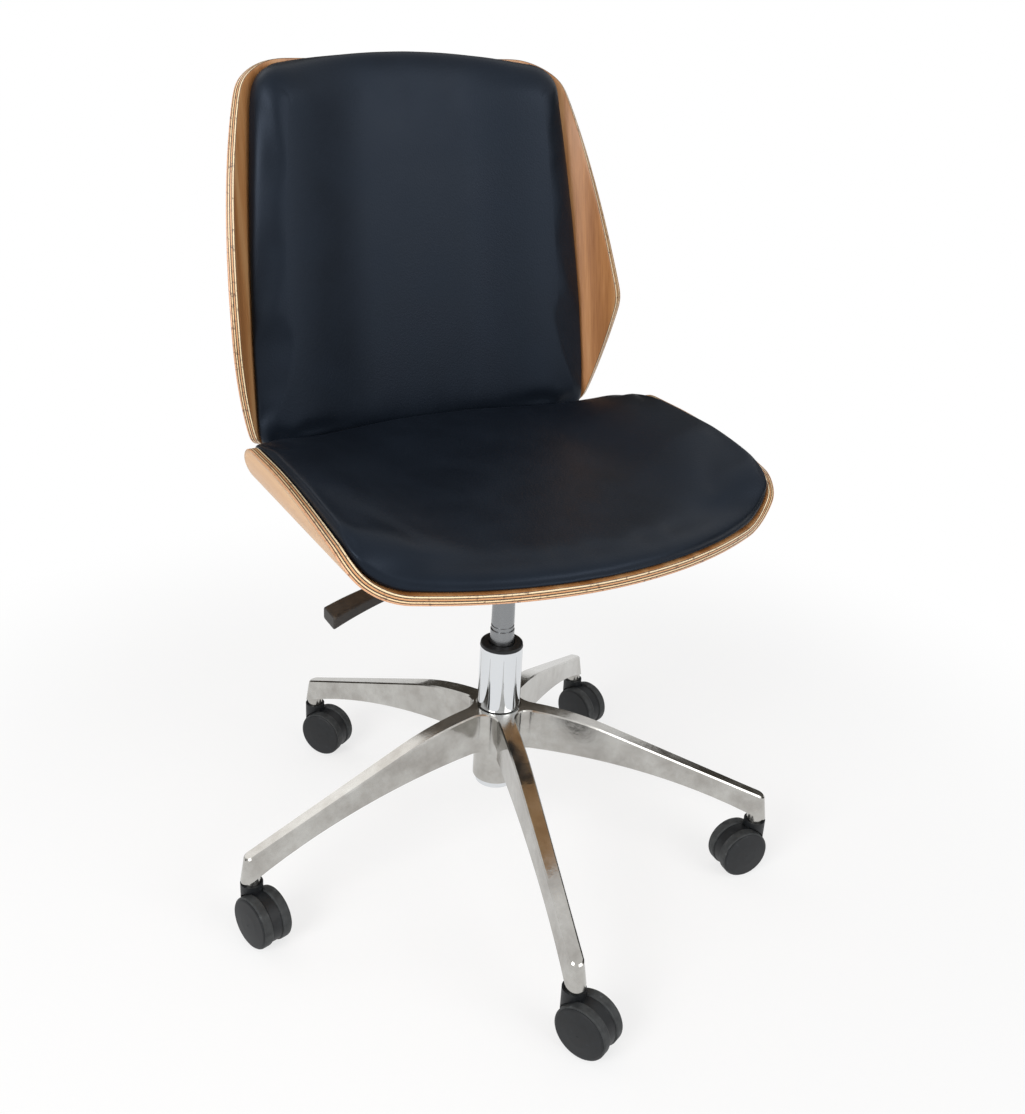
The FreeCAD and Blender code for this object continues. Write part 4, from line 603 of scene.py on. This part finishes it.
def add(tree, kind, inputs, stops=(), **settings):
    """A node with its settings, its inputs set to values or linked to sockets, and a ramp's colour stops."""
    made = tree.nodes.new(kind)
    for name, value in settings.items():
        setattr(made, name, value)
    for name, value in inputs.items():
        if isinstance(value, bpy.types.NodeSocket):
            tree.links.new(value, made.inputs[name])
        else:
            made.inputs[name].default_value = value
    for _ in stops[2:]:
        made.color_ramp.elements.new(0.5)
    for k, (place, code) in enumerate(stops):
        made.color_ramp.elements[k].position = place
        made.color_ramp.elements[k].color = linear(code)
    return made


def finish_named(name):
    """An empty material: its tree, and a function that gives it its surface."""
    material = bpy.data.materials.new(name)
    material.use_nodes = True
    tree = material.node_tree
    tree.nodes.clear()

    def surface(inputs):
        skin = add(tree, "ShaderNodeBsdfPrincipled", inputs)
        add(tree, "ShaderNodeOutputMaterial", {"Surface": skin.outputs[0]})
        return material
    return tree, surface


def leatherette():
    """Embossed vinyl on foam: near-black navy, a fine pebble that breaks up a soft satin sheen."""
    tree, surface = finish_named("navy_leatherette")
    place = add(tree, "ShaderNodeTexCoord", {}).outputs["Object"]
    # the real pebble is under 1 mm, drawn coarser so that it shows
    pebble = add(tree, "ShaderNodeTexVoronoi",
                 {"Vector": place, "Scale": 1 / (1.8 * MM), "Randomness": 1.0}, feature="SMOOTH_F1")
    tone = add(tree, "ShaderNodeTexNoise", {"Vector": place, "Scale": 1 / (60 * MM), "Detail": 4.0})
    colour = add(tree, "ShaderNodeValToRGB", {"Fac": tone.outputs["Fac"]},
                 stops=((0.3, "#080d14"), (0.7, "#0e141c")))
    rough = add(tree, "ShaderNodeMapRange", {"Value": tone.outputs["Fac"], "From Min": 0.3, "From Max": 0.7,
                                             "To Min": 0.40, "To Max": 0.48})
    grain = add(tree, "ShaderNodeBump", {"Height": pebble.outputs["Distance"], "Strength": 0.4,
                                         "Distance": 0.25 * MM})
    return surface({"Base Color": colour.outputs["Color"], "Roughness": rough.outputs["Result"],
                    "Normal": grain.outputs["Normal"], "IOR": 1.5, "Specular IOR Level": 0.3,
                    "Specular Tint": linear("#c3d4ee")})


def veneered_ply():
    """Lacquered plywood: long copper-brown grain on the inner face and the same grain painted paler on the
    outer face, as if that face were more strongly lit; cream plies and dark glue lines at the edge."""
    tree, surface = finish_named("walnut_ply")
    sheet = add(tree, "ShaderNodeUVMap", {}, uv_map="sheet").outputs["UV"]
    depth = add(tree, "ShaderNodeAttribute", {}, attribute_name="depth").outputs["Fac"]
    place = add(tree, "ShaderNodeTexCoord", {}).outputs["Object"]
    # fibres 1.2 mm wide and bands about 25 mm wide, both many times longer than wide
    long_fibre = add(tree, "ShaderNodeMapping",
                     {"Vector": sheet, "Scale": (1 / (1.2 * MM), 1 / (45 * MM), 1)})
    fibre = add(tree, "ShaderNodeTexNoise", {"Vector": long_fibre.outputs[0], "Scale": 1.0, "Detail": 5.0,
                                             "Roughness": 0.6})
    long_band = add(tree, "ShaderNodeMapping",
                    {"Vector": sheet, "Scale": (1 / (25 * MM), 1 / (420 * MM), 1)})
    band = add(tree, "ShaderNodeTexNoise", {"Vector": long_band.outputs[0], "Scale": 1.0, "Detail": 3.0,
                                            "Distortion": 0.4})
    mixed = add(tree, "ShaderNodeMath", {0: fibre.outputs["Fac"], 1: 0.35, 2: band.outputs["Fac"]},
                operation="MULTIPLY_ADD")
    inside = add(tree, "ShaderNodeValToRGB", {"Fac": mixed.outputs[0]},
                 stops=((0.45, "#935d2f"), (0.66, "#b87f4c"), (0.88, "#cf9f6d")))
    # the outer face's ramp is a paler copy of the inner one: painted light, as if that face were lit more
    # strongly
    painted_lit_outer = add(tree, "ShaderNodeValToRGB", {"Fac": mixed.outputs[0]},
                  stops=((0.45, "#bd8c59"), (0.66, "#d0a270"), (0.88, "#e0b988")))
    beyond = add(tree, "ShaderNodeMath", {0: depth, 1: 0.5}, operation="GREATER_THAN")
    face = add(tree, "ShaderNodeMix", {"Factor": beyond.outputs[0], "A": inside.outputs["Color"],
                                       "B": painted_lit_outer.outputs["Color"]}, data_type="RGBA")
    # plies wander a little along the edge
    wander = add(tree, "ShaderNodeTexNoise", {"Vector": place, "Scale": 1 / (70 * MM), "Detail": 2.0})
    shift = add(tree, "ShaderNodeMapRange", {"Value": wander.outputs["Fac"], "To Min": -0.05, "To Max": 0.05})
    layer = add(tree, "ShaderNodeMath", {0: depth, 1: shift.outputs["Result"]}, operation="ADD")
    plies = add(tree, "ShaderNodeValToRGB", {"Fac": layer.outputs[0]}, stops=(
        (0.00, "#4b2f16"), (0.06, "#4b2f16"), (0.09, "#fbe6c0"), (0.20, "#f0d3a4"), (0.23, "#2f190a"),
        (0.30, "#2f190a"), (0.34, "#dca876"), (0.46, "#c88f5d"), (0.49, "#2a1609"), (0.57, "#2a1609"),
        (0.61, "#fbe0b4"), (0.70, "#ecc795"), (0.73, "#3f2210"), (0.79, "#3f2210"), (0.83, "#dfac83"),
        (1.00, "#cd956c")))
    fleck = add(tree, "ShaderNodeTexNoise", {"Vector": place, "Scale": 1 / (5 * MM), "Detail": 3.0})
    dirt = add(tree, "ShaderNodeValToRGB", {"Fac": fleck.outputs["Fac"]},
               stops=((0.30, "#6a4628"), (0.42, "#ffffff")))
    worn = add(tree, "ShaderNodeMix",
               {"Factor": 0.75, "A": plies.outputs["Color"], "B": dirt.outputs["Color"]},
               data_type="RGBA", blend_type="MULTIPLY")
    middle = add(tree, "ShaderNodeMath", {0: depth, 1: 0.5}, operation="SUBTRACT")
    near = add(tree, "ShaderNodeMath", {0: middle.outputs[0]}, operation="ABSOLUTE")
    on_edge = add(tree, "ShaderNodeMath", {0: near.outputs[0], 1: 0.485}, operation="LESS_THAN")
    colour = add(tree, "ShaderNodeMix", {"Factor": on_edge.outputs[0], "A": face.outputs["Result"],
                                         "B": worn.outputs["Result"]}, data_type="RGBA")
    rough = add(tree, "ShaderNodeMapRange", {"Value": fibre.outputs["Fac"], "To Min": 0.32, "To Max": 0.5})
    pores = add(tree, "ShaderNodeBump",
                {"Height": fibre.outputs["Fac"], "Strength": 0.12, "Distance": 0.1 * MM})
    return surface({"Base Color": colour.outputs["Result"], "Roughness": rough.outputs["Result"],
                    "Normal": pores.outputs["Normal"], "Coat Weight": 0.2, "Coat Roughness": 0.25})


def polished_aluminium():
    """Die casting polished by hand: bright, with cloudy patches and a faint ripple that bends reflections."""
    tree, surface = finish_named("polished_aluminium")
    place = add(tree, "ShaderNodeTexCoord", {}).outputs["Object"]
    cloud = add(tree, "ShaderNodeTexNoise", {"Vector": place, "Scale": 1 / (30 * MM), "Detail": 5.0,
                                             "Roughness": 0.6})
    colour = add(tree, "ShaderNodeValToRGB", {"Fac": cloud.outputs["Fac"]},
                 stops=((0.3, "#a3a09b"), (0.7, "#c3c2be")))
    rough = add(tree, "ShaderNodeMapRange", {"Value": cloud.outputs["Fac"], "From Min": 0.3, "From Max": 0.7,
                                             "To Min": 0.08, "To Max": 0.22})
    ripple = add(tree, "ShaderNodeBump",
                 {"Height": cloud.outputs["Fac"], "Strength": 0.2, "Distance": 1.0 * MM})
    return surface({"Base Color": colour.outputs["Color"], "Metallic": 1.0,
                    "Roughness": rough.outputs["Result"], "Normal": ripple.outputs["Normal"]})


def chrome():
    """Bright plating on a drawn tube: a clear mirror with only hairline wear."""
    tree, surface = finish_named("chrome_plate")
    place = add(tree, "ShaderNodeTexCoord", {}).outputs["Object"]
    stretch = add(tree, "ShaderNodeMapping",
                  {"Vector": place, "Scale": (1 / (2 * MM), 1 / (2 * MM), 1 / (60 * MM))})
    hair = add(tree, "ShaderNodeTexNoise", {"Vector": stretch.outputs[0], "Scale": 1.0, "Detail": 3.0})
    rough = add(tree, "ShaderNodeMapRange", {"Value": hair.outputs["Fac"], "To Min": 0.02, "To Max": 0.07})
    return surface({"Base Color": linear("#dcdfe2"), "Metallic": 1.0, "Roughness": rough.outputs["Result"]})


def ground_steel():
    """Turned and ground steel: grey, with fine rings that spread the highlight."""
    tree, surface = finish_named("ground_steel")
    place = add(tree, "ShaderNodeTexCoord", {}).outputs["Object"]
    stretch = add(tree, "ShaderNodeMapping",
                  {"Vector": place, "Scale": (1 / (50 * MM), 1 / (50 * MM), 1 / (0.8 * MM))})
    rings = add(tree, "ShaderNodeTexNoise", {"Vector": stretch.outputs[0], "Scale": 1.0, "Detail": 3.0})
    rough = add(tree, "ShaderNodeMapRange", {"Value": rings.outputs["Fac"], "To Min": 0.2, "To Max": 0.34})
    return surface({"Base Color": linear("#8d8f91"), "Metallic": 1.0, "Roughness": rough.outputs["Result"]})


def powder_coat():
    """Black powder coat on steel: a low gloss with a slight orange peel."""
    tree, surface = finish_named("black_powder_coat")
    place = add(tree, "ShaderNodeTexCoord", {}).outputs["Object"]
    peel = add(tree, "ShaderNodeTexNoise", {"Vector": place, "Scale": 1 / (1.6 * MM), "Detail": 2.0})
    bump = add(tree, "ShaderNodeBump",
               {"Height": peel.outputs["Fac"], "Strength": 0.2, "Distance": 0.15 * MM})
    return surface({"Base Color": linear("#1c1d1f"), "Roughness": 0.42, "Normal": bump.outputs["Normal"]})


def moulded_nylon(name, dark, middle, pale):
    """Glass-filled nylon with a spark-eroded skin: matte, with pale scuffs and dust."""
    tree, surface = finish_named(name)
    place = add(tree, "ShaderNodeTexCoord", {}).outputs["Object"]
    spark = add(tree, "ShaderNodeTexNoise", {"Vector": place, "Scale": 1 / (1.2 * MM), "Detail": 3.0})
    scuff = add(tree, "ShaderNodeTexNoise",
                {"Vector": place, "Scale": 1 / (9 * MM), "Detail": 6.0, "Roughness": 0.7})
    colour = add(tree, "ShaderNodeValToRGB", {"Fac": scuff.outputs["Fac"]},
                 stops=((0.35, dark), (0.62, middle), (0.80, pale)))
    rough = add(tree, "ShaderNodeMapRange", {"Value": scuff.outputs["Fac"], "To Min": 0.42, "To Max": 0.62})
    bump = add(tree, "ShaderNodeBump",
               {"Height": spark.outputs["Fac"], "Strength": 0.3, "Distance": 0.12 * MM})
    return surface({"Base Color": colour.outputs["Color"], "Roughness": rough.outputs["Result"],
                    "Normal": bump.outputs["Normal"], "Specular IOR Level": 0.4})


def tread_rubber():
    """Polyurethane tread: mid grey, dull, with worn paler patches."""
    tree, surface = finish_named("grey_tread")
    place = add(tree, "ShaderNodeTexCoord", {}).outputs["Object"]
    wear = add(tree, "ShaderNodeTexNoise", {"Vector": place, "Scale": 1 / (7 * MM), "Detail": 5.0})
    colour = add(tree, "ShaderNodeValToRGB", {"Fac": wear.outputs["Fac"]},
                 stops=((0.35, "#292b2c"), (0.65, "#3a3c3d"), (0.80, "#5c5e60")))
    return surface({"Base Color": colour.outputs["Color"], "Roughness": 0.62, "Specular IOR Level": 0.4})


def dress(material, pieces):
    """Gives CAD nodes or pieces their material."""
    for piece in pieces:
        piece.data.materials.clear()
        piece.data.materials.append(material)


# Stage


def make_floor():
    """Pale floor: it keeps soft shadows under the chair and runs out into the white background."""
    corners = np.array(((-1, -1, 0), (1, -1, 0), (1, 1, 0), (-1, 1, 0))) * FLOOR_HALF
    floor = new_piece("floor", corners, [(0, 1, 2, 3)])
    material = bpy.data.materials.new("pale_floor")
    material.use_nodes = True
    tree = material.node_tree
    tree.nodes.clear()
    place = add(tree, "ShaderNodeTexCoord", {}).outputs["Object"]
    away = add(tree, "ShaderNodeVectorMath", {0: place}, operation="LENGTH")
    fade = add(tree, "ShaderNodeMapRange", {"Value": away.outputs["Value"], "From Min": FLOOR_FADE[0],
                                            "From Max": FLOOR_FADE[1]}, interpolation_type="SMOOTHSTEP")
    matte = add(tree, "ShaderNodeBsdfDiffuse", {"Color": linear("#f2f2f2")})
    faint = add(tree, "ShaderNodeBsdfDiffuse", {"Color": (FLOOR_SHADE, FLOOR_SHADE, FLOOR_SHADE, 1)})
    glow = add(tree, "ShaderNodeEmission", {"Color": (1, 1, 1, 1), "Strength": 1 - FLOOR_SHADE})
    white = add(tree, "ShaderNodeEmission", {"Color": (1, 1, 1, 1), "Strength": 1.0})
    both = add(tree, "ShaderNodeAddShader", {0: faint.outputs[0], 1: glow.outputs[0]})
    shown = add(tree, "ShaderNodeMixShader",
                {0: fade.outputs["Result"], 1: both.outputs[0], 2: white.outputs[0]})
    path = add(tree, "ShaderNodeLightPath", {})
    seen = add(tree, "ShaderNodeMath", {0: path.outputs["Is Camera Ray"], 1: path.outputs["Is Glossy Ray"]},
               operation="MAXIMUM")
    skin = add(tree, "ShaderNodeMixShader", {0: seen.outputs[0], 1: matte.outputs[0], 2: shown.outputs[0]})
    add(tree, "ShaderNodeOutputMaterial", {"Surface": skin.outputs[0]})
    floor.data.materials.append(material)


def make_world():
    """White to the camera and in reflections, a softer white for the light that it sheds."""
    world = bpy.data.worlds.new("studio")
    bpy.context.scene.world = world
    world.use_nodes = True
    tree = world.node_tree
    tree.nodes.clear()
    path = add(tree, "ShaderNodeLightPath", {})
    seen = add(tree, "ShaderNodeMath", {0: path.outputs["Is Camera Ray"], 1: path.outputs["Is Glossy Ray"]},
               operation="MAXIMUM")
    seen = add(tree, "ShaderNodeMath", {0: seen.outputs[0], 1: path.outputs["Is Transmission Ray"]},
               operation="MAXIMUM")
    strength = add(tree, "ShaderNodeMapRange",
                   {"Value": seen.outputs[0], "To Min": WORLD_LIGHT, "To Max": 1.0})
    sky = add(tree, "ShaderNodeBackground", {"Color": (1, 1, 1, 1), "Strength": strength.outputs["Result"]})
    add(tree, "ShaderNodeOutputWorld", {"Surface": sky.outputs[0]})


def make_flag(name, low, high, stops):
    """Upright panel that glows though it is no lamp and that only reflections see, between two opposite
    corners,
    shaded from foot to top: a painted reflection of a dim room.
    """
    low, high = np.array(low), np.array(high)
    shares = np.array(((0, 0, 0), (1, 1, 0), (1, 1, 1), (0, 0, 1)))
    flag = new_piece(name, low + shares * (high - low), [(0, 1, 2, 3)])
    material = bpy.data.materials.new(name)
    material.use_nodes = True
    tree = material.node_tree
    tree.nodes.clear()
    place = add(tree, "ShaderNodeTexCoord", {}).outputs["Object"]
    parts = add(tree, "ShaderNodeSeparateXYZ", {"Vector": place})
    share = add(tree, "ShaderNodeMapRange",
                {"Value": parts.outputs["Z"], "From Min": low[2], "From Max": high[2]})
    shade = add(tree, "ShaderNodeValToRGB", {"Fac": share.outputs["Result"]}, stops=stops)
    glow = add(tree, "ShaderNodeEmission", {"Color": shade.outputs["Color"], "Strength": 1.0})
    add(tree, "ShaderNodeOutputMaterial", {"Surface": glow.outputs[0]})
    flag.data.materials.append(material)
    flag.visible_camera = False
    flag.visible_diffuse = False
    flag.visible_transmission = False
    flag.visible_shadow = False


def make_lamp(name, place, target, size, power):
    """Soft square lamp that faces a point."""
    data = bpy.data.lights.new(name, "AREA")
    data.shape = "RECTANGLE"
    data.size, data.size_y = size
    data.energy = power
    lamp = bpy.data.objects.new(name, data)
    away = np.array(place) - np.array(target)
    lamp.location = place
    lamp.rotation_euler = Vector(away.tolist()).to_track_quat("Z", "Y").to_euler()
    bpy.context.scene.collection.objects.link(lamp)


def make_camera():
    """The photograph's view: a camera's place, turn, lens and shift."""
    data = bpy.data.cameras.new("camera")
    data.sensor_fit = "VERTICAL"
    data.sensor_height = SENSOR_HEIGHT
    data.lens = data.sensor_height * FOCAL_PIXELS / PHOTO_HEIGHT
    data.shift_x = (PHOTO_WIDTH / 2 - CENTRE_PIXEL[0]) / PHOTO_HEIGHT
    data.shift_y = (CENTRE_PIXEL[1] - PHOTO_HEIGHT / 2) / PHOTO_HEIGHT
    camera = bpy.data.objects.new("camera", data)
    turn = Matrix((CAMERA_RIGHT, CAMERA_UP, CAMERA_BACK)).transposed().to_4x4()
    camera.matrix_world = Matrix.Translation(CAMERA_PLACE) @ turn
    bpy.context.scene.collection.objects.link(camera)
    bpy.context.scene.camera = camera


# Building


def build_shells():
    """Both bent-ply shells, in place of their CAD nodes."""
    seat = make_ply("seat_ply", seat_outline(), on_seat, SEAT_PLY, SEAT_EVENING)
    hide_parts("seat_shell")
    back = make_ply("back_ply", back_outline(), on_back, BACK_PLY, BACK_EVENING)
    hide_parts("back_shell")
    for piece in (seat, back):
        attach(piece, "seat")
    dress(veneered_ply(), (seat, back))


def build_pads():
    """Both pads, filled and softened, in place of their CAD nodes."""
    seat_sheet = (SEAT_FLAT, SEAT_BEND)
    seat = make_pad("seat_cushion", seat_pad_outline(), seat_sheet, in_seat, seat_crown, seat_roll)
    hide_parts("seat_pad")
    back_sheet = (BACK_FLAT, BACK_BEND)
    back = make_pad("back_cushion", back_pad_outline(), back_sheet, in_back, back_crown, back_roll)
    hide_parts("back_pad")
    stuffed(seat, seat_lift, PAD_CAP)
    stuffed(back, back_lift, PAD_CAP)
    for piece in (seat, back):
        softened(piece)
        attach(piece, "seat")
    dress(leatherette(), (seat, back))


def dress_nodes():
    """Every CAD node that still shows, by the record's slots."""
    finishes = {"polished_aluminium": polished_aluminium(), "chrome_tube": chrome(),
                "ground_steel": ground_steel(), "black_steel": powder_coat(), "grey_tread": tread_rubber(),
                "black_nylon": moulded_nylon("black_nylon", "#0b0d10", "#15181b", "#33363a")}
    finishes["black_elastomer"] = finishes["black_nylon"]
    for part in frame["record"]["subparts"]:
        if part["material_slot"] in finishes:
            dress(finishes[part["material_slot"]], [NODES[part["node"]]])
    dress(finishes["ground_steel"], [NODES["gas_cylinder"]])
    # the handle gets a paler, browner copy of the black nylon: a painted reflection like the one on its flat
    # top, laid over the whole handle, with random scuffs
    handle = moulded_nylon("nylon_scuffs_and_painted_reflection", "#221f1d", "#312d2a", "#55504a")
    dress(handle, [NODES["lever_handle"]])


build_shells()
build_pads()
dress_nodes()
make_floor()
make_world()
for flag_name, flag in FLAGS.items():
    make_flag(flag_name, *flag)
for lamp_name, lamp in LAMPS.items():
    make_lamp(lamp_name, *lamp)
make_camera()
bpy.context.scene.view_settings.view_transform = "Standard"
